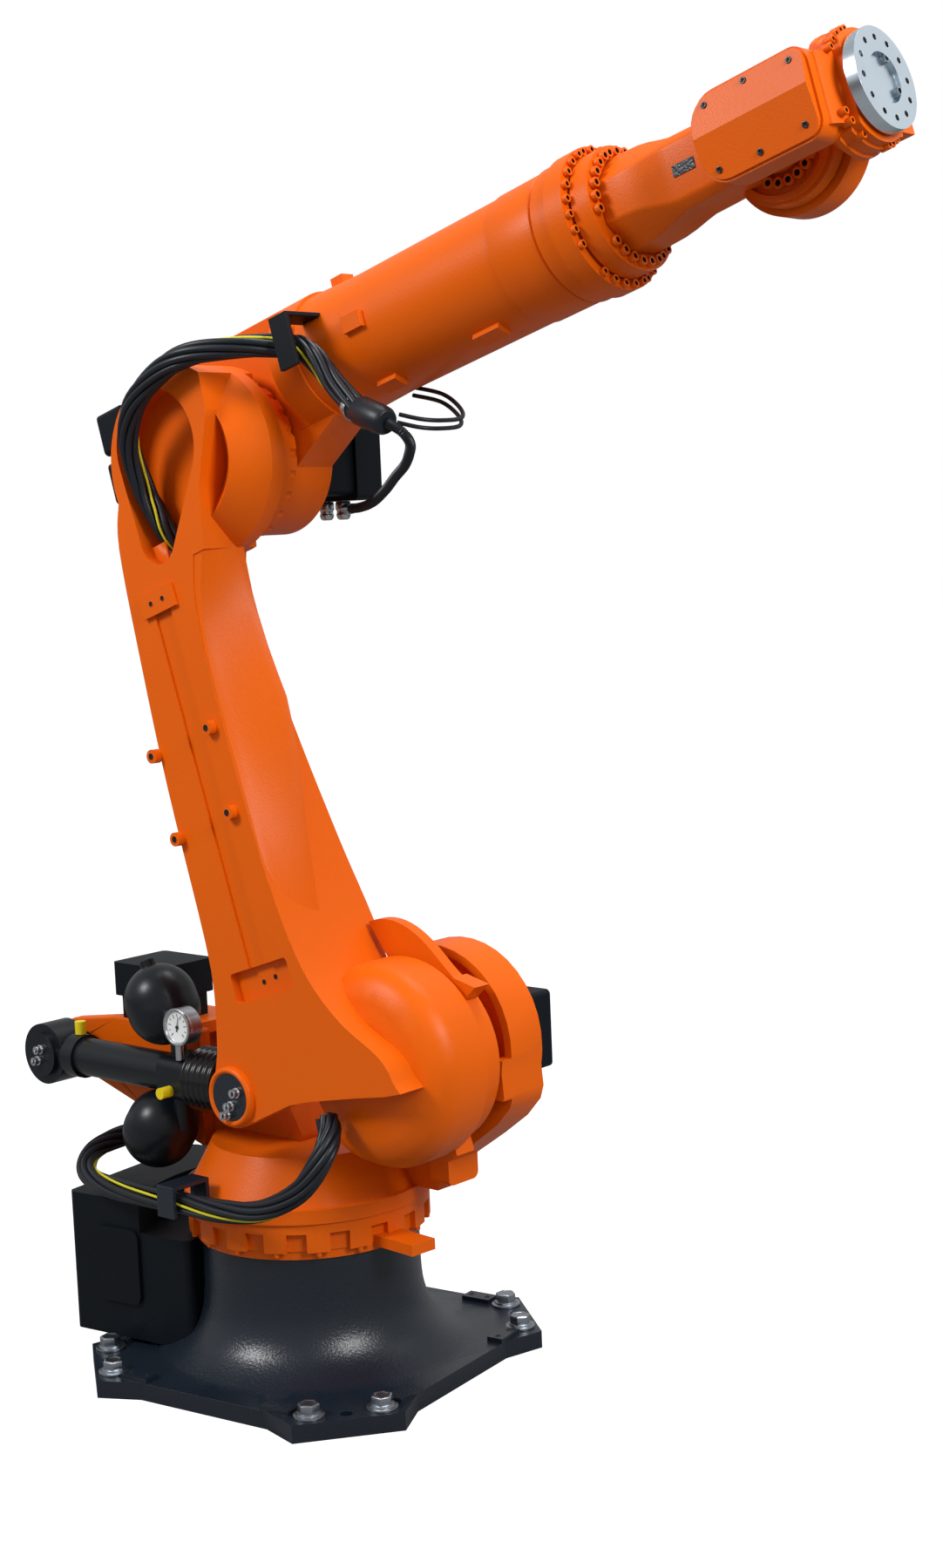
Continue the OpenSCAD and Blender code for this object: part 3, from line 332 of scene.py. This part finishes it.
# cables, as cords that keep to the solids' routes
shoulderBundle = {
    "route": [(-424, -94, 402), (-424, -140, 398), (-418, -190, 386), (-386, -232, 370), (-320, -260, 362),
              (-220, -276, 362), (-60, -290, 372), (70, -292, 376), (180, -290, 394), (262, -276, 440),
              (296, -250, 500), (288, -220, 536), (270, -208, 558)],
    "cable": 0.0125, "wire": 0.00525, "spread": 0.0154, "twist": 560, "steps": 6,
    "held": (38, -1),  # steps of the route where the clamp lets go
}
elbowBundle = {
    "route": [(-84, -148, -160), (-92, -178, -128), (-100, -194, -98), (-106, -202, -62), (-112, -212, -14),
              (-92, -238, 63), (-34, -258, 118), (55, -262, 148), (131, -254, 154), (207, -216, 142),
              (262, -156, 126), (300, -150, 108), (326, -146, 76), (348, -140, 24), (388, -136, -36)],
    "cable": 0.0125, "wire": 0.00525, "spread": 0.0154, "twist": 520, "steps": 6,
    "held": (18, 60),  # from the recess to the bracket
}
elbowHose = {
    "route": [(452, -146, -80), (472, -138, -104), (466, -118, -122), (437, -95, -133), (391, -60, -137),
              (327, -20, -138), (257, 25, -140), (174, 75, -138), (102, 117, -126), (66, 133, -117)],
    "diameter": 0.019, "pitch": 0.0036, "groove": 0.82, "steps": 12,
}
sensorCable = {
    "route": [(452, -121, -80), (480, -100, -98), (492, -62, -104), (484, 0, -96), (462, 30, -70),
              (420, 44, -30), (362, 41.7, 2.7)],
    "diameter": 0.0078, "spread": 0.014, "phase": 40, "twist": 30, "steps": 10,
}


def smoothRoute(route, frameMatrix, steps):
    # the same smooth curve as in the source, in metres and in the shared frame
    points = [frameMatrix @ (Vector(p) / 1000) for p in route]
    last = len(points) - 1
    curve = []
    for i in range(last):
        a, b, c, d = points[max(i - 1, 0)], points[i], points[i + 1], points[min(i + 2, last)]
        for k in range(steps):
            t = k / steps
            curve.append(0.5 * (2 * b + (c - a) * t + (2 * a - 5 * b + 4 * c - d) * t * t
                                + (3 * b - a - 3 * c + d) * t ** 3))
    return curve + [points[-1]]


def offsetPath(path, radius, phase, twist):
    # a path that winds slowly round another one
    side = None
    wound = []
    for i, point in enumerate(path):
        along = (path[min(i + 1, len(path) - 1)] - path[max(i - 1, 0)]).normalized()
        if side is None:
            side = along.orthogonal().normalized()
        else:
            side = (side - along * side.dot(along)).normalized()
        angle = math.radians(phase + twist * i / (len(path) - 1))
        wound.append(point + radius * (math.cos(angle) * side + math.sin(angle) * along.cross(side)))
    return wound


tubeSetup = {"roundness": 3, "smoothUnder": 50}


def tube(name, path, diameter, finishName, radii=None):
    data = bpy.data.curves.new(name, "CURVE")
    data.dimensions = "3D"
    data.bevel_depth, data.bevel_resolution, data.use_fill_caps = diameter / 2, tubeSetup["roundness"], True
    spline = data.splines.new("POLY")
    spline.points.add(len(path) - 1)
    for i, (point, place) in enumerate(zip(spline.points, path)):
        point.co = (*place, 1)
        point.radius = radii[i] if radii else 1
    piece = bpy.data.objects.new(name, data)
    bpy.context.scene.collection.objects.link(piece)
    useObject(piece)
    bpy.ops.object.convert(target="MESH")
    piece = bpy.context.object
    dress(piece, finishName)
    bpy.ops.object.shade_smooth_by_angle(angle=math.radians(tubeSetup["smoothUnder"]))
    return piece


def layBundle(name, bundle, frameMatrix, node, finishNames):
    middle = smoothRoute(bundle["route"], frameMatrix, bundle["steps"])
    for k, finishName in enumerate(finishNames):
        ring = k > 0
        phase = 360 * k / max(len(finishNames) - 1, 1)
        path = offsetPath(middle, bundle["spread"] if ring else 0, phase, bundle["twist"])
        diameter = bundle["cable"] if finishName == "cableSheath" else bundle["wire"]
        piece = tube(f"{name}{k + 1}", path, diameter, finishName)
        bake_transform(piece)
        if k == 0:
            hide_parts(node)


bundleFinishes = ["cableSheath"] * 8 + ["yellowWire"]
layBundle("shoulderCable", shoulderBundle, columnFrame, "shoulder_cables", bundleFinishes)
layBundle("elbowCable", elbowBundle, armFrame, "elbow_cables", bundleFinishes)


def layHose(h):
    coarse = smoothRoute(h["route"], armFrame, h["steps"])
    path, gone, wanted = [coarse[0]], 0.0, h["pitch"] / 2
    for a, b in zip(coarse, coarse[1:]):
        step = (b - a).length
        while gone + step >= wanted * len(path):
            path.append(a.lerp(b, (wanted * len(path) - gone) / step))
        gone += step
    radii = [1 if i % 2 else h["groove"] for i in range(len(path))]
    piece = tube("elbowHose", path, h["diameter"], "cableSheath", radii)
    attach(piece, "arm")
    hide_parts("elbow_hose")


layHose(elbowHose)


def laySensorCables(s):
    middle = smoothRoute(s["route"], armFrame, s["steps"])
    for k, offset in enumerate((0.0, s["spread"])):
        path = offsetPath(middle, offset, s["phase"], s["twist"])
        piece = tube(f"sensorCable{k + 1}", path, s["diameter"], "cableSheath")
        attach(piece, "arm")
        if k == 0:
            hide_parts("sensor_cables")


laySensorCables(sensorCable)
print("cables laid")

# detail pieces: small parts are modelled once and set out by place


def turnedPiece(name, rings, sides=40):
    # a disc extruded and scaled along Z, ring by ring: (height, radius)
    deselectAll()
    height, radius = rings[0]
    bpy.ops.mesh.primitive_circle_add(vertices=sides, radius=radius, fill_type="NGON",
                                      location=(0, 0, height))
    piece = bpy.context.object
    piece.name = name
    bpy.ops.object.mode_set(mode="EDIT")
    bpy.ops.mesh.select_all(action="SELECT")
    for nextHeight, nextRadius in rings[1:]:
        bpy.ops.mesh.extrude_region_move(TRANSFORM_OT_translate={"value": (0, 0, nextHeight - height)})
        factor = nextRadius / radius
        bpy.ops.transform.resize(value=(factor, factor, 1), center_override=(0, 0, nextHeight))
        height, radius = nextHeight, nextRadius
    bpy.ops.mesh.select_all(action="SELECT")
    bpy.ops.mesh.normals_make_consistent(inside=False)
    bpy.ops.object.mode_set(mode="OBJECT")
    bpy.ops.object.transform_apply(location=True, rotation=True, scale=True)
    return piece


softSetup = {"sharperThan": 30, "smoothUnder": 35}


def softenEdges(piece, width, segments=2):
    useObject(piece)
    bevel = piece.modifiers.new("softEdges", "BEVEL")
    bevel.width, bevel.segments, bevel.limit_method = width, segments, "ANGLE"
    bevel.angle_limit = math.radians(softSetup["sharperThan"])
    bpy.ops.object.modifier_apply(modifier=bevel.name)
    bpy.ops.object.shade_smooth_by_angle(angle=math.radians(softSetup["smoothUnder"]))
    return piece


def shadeOrRecolourFaces(piece, finishName, test):
    # a second finish on the faces that pass a test of their centre: painted shade inside sockets, holes and
    # bores, or a part's own second colour
    piece.data.materials.append(finishes[finishName])
    for face in piece.data.polygons:
        if test(face.center):
            face.material_index = len(piece.data.materials) - 1
    return piece


def joinPieces(name, pieces):
    deselectAll()
    for piece in pieces:
        piece.select_set(True)
    bpy.context.view_layer.objects.active = pieces[0]
    if len(pieces) > 1:
        bpy.ops.object.join()
    bpy.context.object.name = name
    return bpy.context.object


def stand(place, aim):
    # stands +Z along aim, at a place in millimetres
    return shift(*(Vector(place) / 1000)) @ Vector(aim).to_track_quat("Z", "Y").to_matrix().to_4x4()


def setOut(name, master, places, body):
    copies = []
    for matrix in places:
        copy = master.copy()
        copy.data = master.data.copy()
        copy.data.transform(matrix)
        bpy.context.scene.collection.objects.link(copy)
        copies.append(copy)
    bpy.data.objects.remove(master)
    group = joinPieces(name, copies)
    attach(group, body)
    return group


# socket screw: foot in metres, the rest as shares of its radius and height
screwShape = {"foot": -0.002, "mouth": 0.55, "floor": 0.5, "floorHeight": 0.45, "edge": 0.12, "dark": 0.535,
              "sides": 20}


def capScrew(radius, height, finishName):
    s = screwShape
    piece = turnedPiece("capScrew", [(s["foot"], radius), (height, radius), (height, radius * s["mouth"]),
                                     (height * s["floorHeight"], radius * s["floor"])], s["sides"])
    dress(softenEdges(piece, radius * s["edge"]), finishName)
    # painted shade on the socket's walls and floor
    return shadeOrRecolourFaces(piece, "paintedSocketShade", lambda c: c.xy.length < radius * s["dark"] and c.z > 0)


# a shallow hole's rim on a flat face, its floor painted with shade in place of the hole's depth: heights in
# metres, widths as shares of its radius
holeShape = {"rings": [(-0.001, 1.25), (0.0007, 1.2), (0.0007, 1), (0.0002, 0.96)], "edge": 0.0002,
             "dark": 0.99, "sides": 20}


def tappedHole(radius, finishName):
    h = holeShape
    piece = turnedPiece("tappedHole", [(height, radius * share) for height, share in h["rings"]], h["sides"])
    dress(softenEdges(piece, h["edge"]), finishName)
    # painted shade on the hole's floor
    return shadeOrRecolourFaces(piece, "paintedSocketShade", lambda c: c.xy.length < radius * h["dark"] and c.z > 0)


hexBolt = {
    "washer": [(0, 0.029), (0.005, 0.029), (0.005, 0.0225), (0.009, 0.02205), (0.0095, 0.01845)],
    "head": [(0.005, 0.0205), (0.023715, 0.0205), (0.0255, 0.01722), (0.0255, 0.01353), (0.02448, 0.01271)],
    "edge": 0.0007, "spots": [(327, 233), (233, 327)], "footTop": 34,
    "turns": (17, 23, 31),  # first head, each quarter, each spot
}


def boltFoot(b):
    washer, head = turnedPiece("washer", b["washer"]), turnedPiece("head", b["head"], sides=6)
    for piece in (washer, head):
        dress(softenEdges(piece, b["edge"]), "boltSteel")
    master = joinPieces("hexBolt", [washer, head])
    first, perQuarter, perSpot = b["turns"]
    places = []
    for quarter in range(4):
        for k, (x, y) in enumerate(b["spots"]):
            places.append(turn(90 * quarter, "Z") @ shift(x / 1000, y / 1000, b["footTop"] / 1000)
                          @ turn(first + perQuarter * quarter + perSpot * k, "Z"))
    setOut("footBolts", master, places, "base")


boltFoot(hexBolt)

stripHoles = {"spot": (329, 168), "pitch": 38, "top": 43, "radius": 0.0045}


def drillStrips(h):
    x, y = h["spot"]
    places = [turn(90 * quarter, "Z") @ stand((x, side * y + end * h["pitch"] / 2, h["top"]), (0, 0, 1))
              for quarter in range(4) for side in (-1, 1) for end in (-1, 1)]
    setOut("stripHoles", tappedHole(h["radius"], "blackPaint"), places, "base")


drillStrips(stripHoles)

ringBolts = {"count": 18, "first": 19.2, "circle": 227.5, "under": 279, "head": 0.0058, "height": 0.009}


def boltRing(r):
    places = [columnFrame @ turn(360 / r["count"] * k + r["first"], "Z")
              @ stand((r["circle"], 0, r["under"]), (0, 0, -1)) for k in range(r["count"])]
    setOut("ringBolts", capScrew(r["head"], r["height"], "orangePaint"), places, "column")


boltRing(ringBolts)

# flange bolts: angles run from the near side downwards, in groups, then again half a turn on
flangeBolts = {
    "endFlangeBolts": {"frame": tubeFrame, "x": 899, "circle": 114, "head": 0.0072, "height": 0.009,
                       "body": "arm", "angles": [-63, -50, -37, -24, -11, 2, 15, 28, 58, 71, 84, 97, 110]},
    "forearmFlangeBolts": {"frame": tubeFrame, "x": 941, "circle": 93, "head": 0.0085, "height": 0.011,
                           "body": "forearm",
                           "angles": [-61, -47.5, -34, -20.5, -7, 6.5, 42, 55.5, 69, 82.5, 96, 109.5]},
    "gearHousingBolts": {"frame": handFrame, "x": 168, "circle": 91, "head": 0.0062, "height": 0.015,
                         "body": "hand", "angles": [-58, -47, -36, 30, 41, 60, 104, 112]},
}


def boltFlange(name, f):
    places = []
    for a in f["angles"] + [angle + 180 for angle in f["angles"]]:
        a = math.radians(a)
        place = (f["x"], -f["circle"] * math.cos(a), -f["circle"] * math.sin(a))
        places.append(f["frame"] @ stand(place, (1, 0, 0)))
    setOut(name, capScrew(f["head"], f["height"], "orangePaint"), places, f["body"])


for boltsName, flangeSet in flangeBolts.items():
    boltFlange(boltsName, flangeSet)

discBolts = {"face": 30, "circle": 67, "head": 0.0092, "height": 0.011,
             "angles": [-41, -56, -72, -88, -104, -120, 41, 56, 72, 88, 104, 120]}


def boltDisc(d):
    places = [handFrame @ stand((d["circle"] * math.cos(math.radians(a)), d["face"],
                                 d["circle"] * math.sin(math.radians(a))), (0, -1, 0)) for a in d["angles"]]
    setOut("discBolts", capScrew(d["head"], d["height"], "orangePaint"), places, "forearm")


boltDisc(discBolts)

coverScrews = {"spots": [(135, 47), (53, 53), (-22, 47), (135, -52), (51, -58), (-24, -54)], "head": 0.0052,
               "height": 0.0022, "crest": -129, "edge": -118, "crease": 3, "top": 65, "bottom": -74}


def screwCover(c):
    places = []
    for x, z in c["spots"]:
        fall = (c["edge"] - c["crest"]) / ((c["top"] if z > c["crease"] else c["bottom"]) - c["crease"])
        places.append(handFrame @ stand((x, c["crest"] + fall * (z - c["crease"]), z), (0, -1, fall)))
    setOut("coverScrews", capScrew(c["head"], c["height"], "blackPaint"), places, "hand")


screwCover(coverScrews)

# holes in the link's bosses, upper pad and scoop: x, y, z in the link frame and radius
linkHoles = {
    "bossHoles": ([(-249.6, -243, 663.6), (-85.1, -243, 671.6), (-246.1, -243, 502.6), (-89.7, -243, 512.9)],
                  0.0065),
    "padHoles": ([(-149, -236, 928), (-115, -236, 928), (-144, -212, 203), (-111, -212, 206)], 0.005),
}
for holesName, (spots, holeRadius) in linkHoles.items():
    places = [linkFrame @ stand(spot, (0, -1, 0)) for spot in spots]
    setOut(holesName, tappedHole(holeRadius, "orangePaint"), places, "link")
print("bolts, screws and holes set")

gauge = {
    "centre": (439, -54, 110), "edge": 0.0012, "white": 0.02835,
    "rings": [(-0.004, 0.0365), (0.0065, 0.0365), (0.0065, 0.0315), (0.002, 0.03087)],
    "ticks": 11, "sweep": 270, "marks": (0.0075, 0.0045), "markEnd": 0.0252, "markLift": 0.0023,
    "markSize": (1.1, 0.9), "inkEdge": 0.0001,
    "needle": (2.2, 30, 0.9), "needleTip": 0.25, "needleTurn": -12, "needleSeat": (0, 0.006, 0.0036),
    "hub": [(0.002, 0.0034), (0.0046, 0.0034), (0.0052, 0.0022)], "hubEdge": 0.0002,
}


def makeGauge(g):
    face = balanceFrame @ stand(g["centre"], (0, -1, 0))
    case = turnedPiece("gaugeCase", g["rings"], sides=56)
    dress(softenEdges(case, g["edge"], segments=3), "brightSteel")
    shadeOrRecolourFaces(case, "whiteDial", lambda c: c.xy.length < g["white"] and c.z > 0)
    wide, thick = g["markSize"]
    marks = []
    for k in range(g["ticks"]):
        deselectAll()
        bpy.ops.mesh.primitive_cube_add(size=0.001)
        mark = bpy.context.object
        long = g["marks"][k % 2]
        mark.data.transform(turn(g["sweep"] * (k / (g["ticks"] - 1) - 0.5), "Z")
                            @ shift(0, g["markEnd"] - long / 2, g["markLift"])
                            @ Matrix.Diagonal((wide, long * 1000, thick, 1)))
        marks.append(dress(softenEdges(mark, g["inkEdge"], segments=1), "blackPaint"))
    deselectAll()
    bpy.ops.mesh.primitive_cube_add(size=0.001)
    needle = bpy.context.object
    needle.data.transform(Matrix.Diagonal((*g["needle"], 1)))
    useObject(needle)
    bpy.ops.object.mode_set(mode="EDIT")
    bpy.ops.mesh.select_all(action="DESELECT")
    bpy.ops.object.mode_set(mode="OBJECT")
    for vertex in needle.data.vertices:
        vertex.select = vertex.co.y > 0
    bpy.ops.object.mode_set(mode="EDIT")
    bpy.ops.transform.resize(value=(g["needleTip"], 1, 1), center_override=(0, 0.015, 0))
    bpy.ops.object.mode_set(mode="OBJECT")
    needle.data.transform(turn(g["needleTurn"], "Z") @ shift(*g["needleSeat"]))
    hub = dress(softenEdges(turnedPiece("hub", g["hub"], sides=20), g["hubEdge"]), "blackPaint")
    dress(softenEdges(needle, g["inkEdge"], segments=1), "blackPaint")
    dial = joinPieces("gaugeDial", marks + [needle, hub])
    for piece, slot in ((case, "bright_steel"), (dial, "black_plastic")):
        piece.data.transform(face)
        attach(piece, "counterbalance")


makeGauge(gauge)

# steel fittings in the link's pin cover and on the rear eye
fittings = {
    "pinFittings": {"frame": linkFrame, "face": -237, "body": "link",
                    "spots": [(-266, 23), (-291, 2), (-307, -12)]},
    "eyeFittings": {"frame": balanceFrame, "face": -44, "body": "counterbalance",
                    "spots": [(4, 12), (-6, -12)]},
}
fittingShape = {
    "rings": [(-0.001, 0.0098), (0.004, 0.0098), (0.0045, 0.0072), (0.011, 0.0072), (0.0115, 0.0085),
              (0.015, 0.0085), (0.015, 0.0045), (0.010, 0.004)],
    "edge": 0.0005, "bore": 0.0041, "boreFloor": 0.005,
}


def addFittings(name, f, shape):
    fitting = turnedPiece("fitting", shape["rings"], sides=24)
    dress(softenEdges(fitting, shape["edge"]), "brightSteel")
    # painted shade in the fitting's bore
    shadeOrRecolourFaces(fitting, "paintedSocketShade", lambda c: c.xy.length < shape["bore"] and c.z > shape["boreFloor"])
    places = [f["frame"] @ stand((x, f["face"], z), (0, -1, 0)) for x, z in f["spots"]]
    setOut(name, fitting, places, f["body"])


for fittingName, fittingSet in fittings.items():
    addFittings(fittingName, fittingSet, fittingShape)

pinRim = {"centre": (-290, -228, 18), "mouth": 0.0446, "edge": 0.0015,
          "rings": [(-0.004, 0.058), (0.009, 0.056), (0.0125, 0.052), (0.0125, 0.048), (0.0085, 0.0445)]}


def rimPin(r):
    piece = turnedPiece("pinRim", r["rings"], sides=64)
    dress(softenEdges(piece, r["edge"], segments=3), "orangePaint")
    shadeOrRecolourFaces(piece, "blackPaint", lambda c: c.xy.length < r["mouth"] and c.z > 0)
    setOut("pinRim", piece, [linkFrame @ stand(r["centre"], (0, -1, 0))], "link")


rimPin(pinRim)

bellows = {"start": 435.3, "length": 91.5, "folds": 6, "peak": 0.067, "valley": 0.053, "rounding": 2,
           "smoothUnder": 60}


def foldBellows(b):
    step = b["length"] / 1000 / (2 * b["folds"])
    rings = [(0, b["valley"])]
    for k in range(1, 2 * b["folds"]):
        rings.append((step * k, b["peak"] if k % 2 else b["valley"]))
    rings.append((2 * step * b["folds"], b["valley"]))
    piece = turnedPiece("foldedBellows", rings, sides=64)
    useObject(piece)
    rounded = piece.modifiers.new("rounded", "SUBSURF")
    rounded.levels = rounded.render_levels = b["rounding"]
    bpy.ops.object.modifier_apply(modifier=rounded.name)
    bpy.ops.object.shade_smooth_by_angle(angle=math.radians(b["smoothUnder"]))
    dress(piece, "glossRubber")
    near, far = (b["start"], 0, 0), (b["start"] + b["length"], 0, 0)
    piece.data.transform(balanceFrame @ stand(near, (1, 0, 0)))
    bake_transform(piece)
    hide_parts("counterbalance_bellows")


foldBellows(bellows)
print("counterbalance fitted")

splitterBoot = {"start": (388, -136, -36), "end": (452, -146, -80), "edge": 0.002, "bandEdge": 0.0005,
                "rings": [(-0.014, 0.0215), (-0.002, 0.0225), (0.004, 0.0260), (0.052, 0.0262),
                          (0.070, 0.0245), (0.0783, 0.0205)],
                "band": [(-0.026, 0.0228), (-0.026, 0.0240), (-0.014, 0.0240), (-0.014, 0.0228)]}


def bootSplitter(b):
    aim = Vector(b["end"]) - Vector(b["start"])
    boot = softenEdges(turnedPiece("splitterBoot", b["rings"], sides=40), b["edge"], segments=3)
    dress(boot, "cableSheath")
    boot.data.transform(armFrame @ stand(b["start"], aim))
    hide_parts("cable_splitter")
    band = turnedPiece("splitterBand", b["band"], sides=40)
    dress(softenEdges(band, b["bandEdge"]), "brightSteel")
    band.data.transform(armFrame @ stand(b["start"], aim))
    for piece, slot in ((boot, "black_rubber"), (band, "bright_steel")):
        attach(piece, "arm")


bootSplitter(splitterBoot)

# raised collar on the arm tube, one wide turned band with a seam at each end
tubeCollar = {"rings": [(0.726, 0.1118), (0.728, 0.1142), (0.822, 0.1146), (0.824, 0.1120)], "edge": 0.0006}


def bandTube(c):
    piece = softenEdges(turnedPiece("tubeCollar", c["rings"], sides=96), c["edge"])
    dress(piece, "orangePaint")
    setOut("tubeCollar", piece, [tubeFrame @ stand((0, 0, 0), (1, 0, 0))], "arm")


bandTube(tubeCollar)

# slanted front of the link, from its head down towards the shoulder, in the link frame
# each row: height, front edge and bulge at the far edge
linkFront = {"near": -226, "far": -129, "across": 6, "swell": 1.15, "depth": 0.045, "edge": 0.004, "rows": [
    (1035, 30, -3), (1010, 23, 2), (985, 13, 8), (955, -2, 18), (925, -17, 30), (890, -31, 41),
    (851, -42, 52), (790, -51, 64), (735, -54, 73), (690, -55, 80), (640, -55, 76), (580, -55, 66),
    (520, -54, 54), (460, -53, 41), (400, -51, 28), (340, -49, 15), (290, -47, 5), (260, -46, -2)]}


def fairLinkFront(f):
    deselectAll()
    bpy.ops.mesh.primitive_grid_add(x_subdivisions=f["across"], y_subdivisions=len(f["rows"]) - 1, size=2)
    piece = bpy.context.object
    for vertex in piece.data.vertices:
        share = (vertex.co.x + 1) / 2
        height, front, bulge = f["rows"][round((vertex.co.y + 1) / 2 * (len(f["rows"]) - 1))]
        y = f["near"] + (f["far"] - f["near"]) * share
        vertex.co = Vector((front + bulge * share ** f["swell"], y, height)) / 1000
    bpy.ops.object.mode_set(mode="EDIT")
    bpy.ops.mesh.select_all(action="SELECT")
    bpy.ops.mesh.extrude_region_move(TRANSFORM_OT_translate={"value": (-f["depth"], 0, 0)})
    bpy.ops.mesh.select_all(action="SELECT")
    bpy.ops.mesh.normals_make_consistent(inside=False)
    bpy.ops.object.mode_set(mode="OBJECT")
    dress(softenEdges(piece, f["edge"], segments=3), "orangePaint")
    setOut("linkFront", piece, [linkFrame], "link")


fairLinkFront(linkFront)

# sill in the lower rear corner of the elbow recess, under the cables
recessSill = {"centre": (-95.5, -201, 1035), "right": -103, "top": 1032, "edge": 0.001,
              "rings": [(-0.002, 0.0475), (0.004, 0.0475), (0.0045, 0.040)]}


def sillRecess(r):
    piece = softenEdges(turnedPiece("recessSill", r["rings"], sides=48), r["edge"])
    piece.data.transform(stand(r["centre"], (0, -1, 0)))
    useObject(piece)
    bpy.ops.object.mode_set(mode="EDIT")
    for cut, side in (((r["right"], 0, 0), (1, 0, 0)), ((0, 0, r["top"]), (0, 0, 1))):
        bpy.ops.mesh.select_all(action="SELECT")
        bpy.ops.mesh.bisect(plane_co=Vector(cut) / 1000, plane_no=side, use_fill=True, clear_outer=True)
    bpy.ops.object.mode_set(mode="OBJECT")
    setOut("recessSill", dress(piece, "orangePaint"), [linkFrame], "link")


sillRecess(recessSill)

# cast forearm with chamfered sides and a dished top that clears the bent hand, by sections from the flange on
# each section: place before the wrist axis, half width, side height, ridge half width, ridge height, crown
forearmShape = {"sides": 16, "draft": 0.06, "dish": 0.55, "edge": 0.004, "smoothUnder": 24, "sections": [
    (-279, 78, 32, 32, 78, 78), (-240, 77, 33, 33, 77, 77), (-212, 74, 35, 35, 75, 74),
    (-190, 67, 39, 37, 71, 68), (-168, 59, 43, 39, 65, 59), (-150, 54.8, 44, 40, 61, 54),
    (-105, 54.8, 44, 40, 60, 52), (-60, 54.8, 44, 40, 58, 51), (-30, 54.5, 42, 38, 55, 50)]}


def shapeForearm(f):
    piece = turnedPiece("forearmBody", [(each[0] / 1000, f["draft"]) for each in f["sections"]], f["sides"])
    for vertex in piece.data.vertices:
        section = min(f["sections"], key=lambda each: abs(each[0] / 1000 - vertex.co.z))
        x, wide, side, ridge, top, crown = section
        dished = (ridge * f["dish"], (top + 2 * crown) / 3)
        quarter = [(wide, 0), (wide, side), (ridge, top), dished, (0, crown)]
        step = round(math.degrees(math.atan2(abs(vertex.co.y), abs(vertex.co.x))) * f["sides"] / 360)
        across, up = quarter[step]
        vertex.co = Vector((math.copysign(across, vertex.co.x), math.copysign(up, vertex.co.y), x)) / 1000
    softenEdges(piece, f["edge"], segments=3)
    bpy.ops.object.shade_smooth_by_angle(angle=math.radians(f["smoothUnder"]))
    dress(piece, "orangePaint")
    body = setOut("forearmBody", piece, [handFrame @ stand((0, 0, 0), (1, 0, 0))], "forearm")
    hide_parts("forearm")


shapeForearm(forearmShape)

flangePins = {"face": 208, "spots": [(19, 33), (33, -17)], "edge": 0.0004, "bore": 0.0047, "boreFloor": 0.001,
              "rings": [(-0.001, 0.0075), (0.0068, 0.0075), (0.0068, 0.0048), (0.002, 0.0044)]}


def pinFlange(f):
    pin = dress(softenEdges(turnedPiece("flangePin", f["rings"], sides=24), f["edge"]), "boltSteel")
    # painted shade in the pin's bore
    shadeOrRecolourFaces(pin, "paintedSocketShade", lambda c: c.xy.length < f["bore"] and c.z > f["boreFloor"])
    places = [handFrame @ stand((f["face"], y, z), (1, 0, 0)) for y, z in f["spots"]]
    setOut("flangePins", pin, places, "flange")


pinFlange(flangePins)

# knurled nuts on the elbow motor's connectors, drawn level with the floor
connectorNuts = {"x": 32, "gap": 45, "y": 150, "top": -80, "edge": 0.0006,
                 "rings": [(0.001, 0.0135), (0.006, 0.0150), (0.016, 0.0150), (0.018, 0.0128),
                           (0.024, 0.0128), (0.026, 0.0142), (0.033, 0.0120), (0.036, 0.0080)]}


def nutConnectors(c):
    levelFrame = armFrame @ turn(armPose["armPitch"], "Y")
    nut = dress(softenEdges(turnedPiece("connectorNut", c["rings"], sides=14), c["edge"]), "brightSteel")
    places = [levelFrame @ stand((c["x"] + side * c["gap"] / 2, c["y"], c["top"]), (0, 0, -1))
              for side in (-1, 1)]
    setOut("connectorNuts", nut, places, "arm")


nutConnectors(connectorNuts)
print("details done")
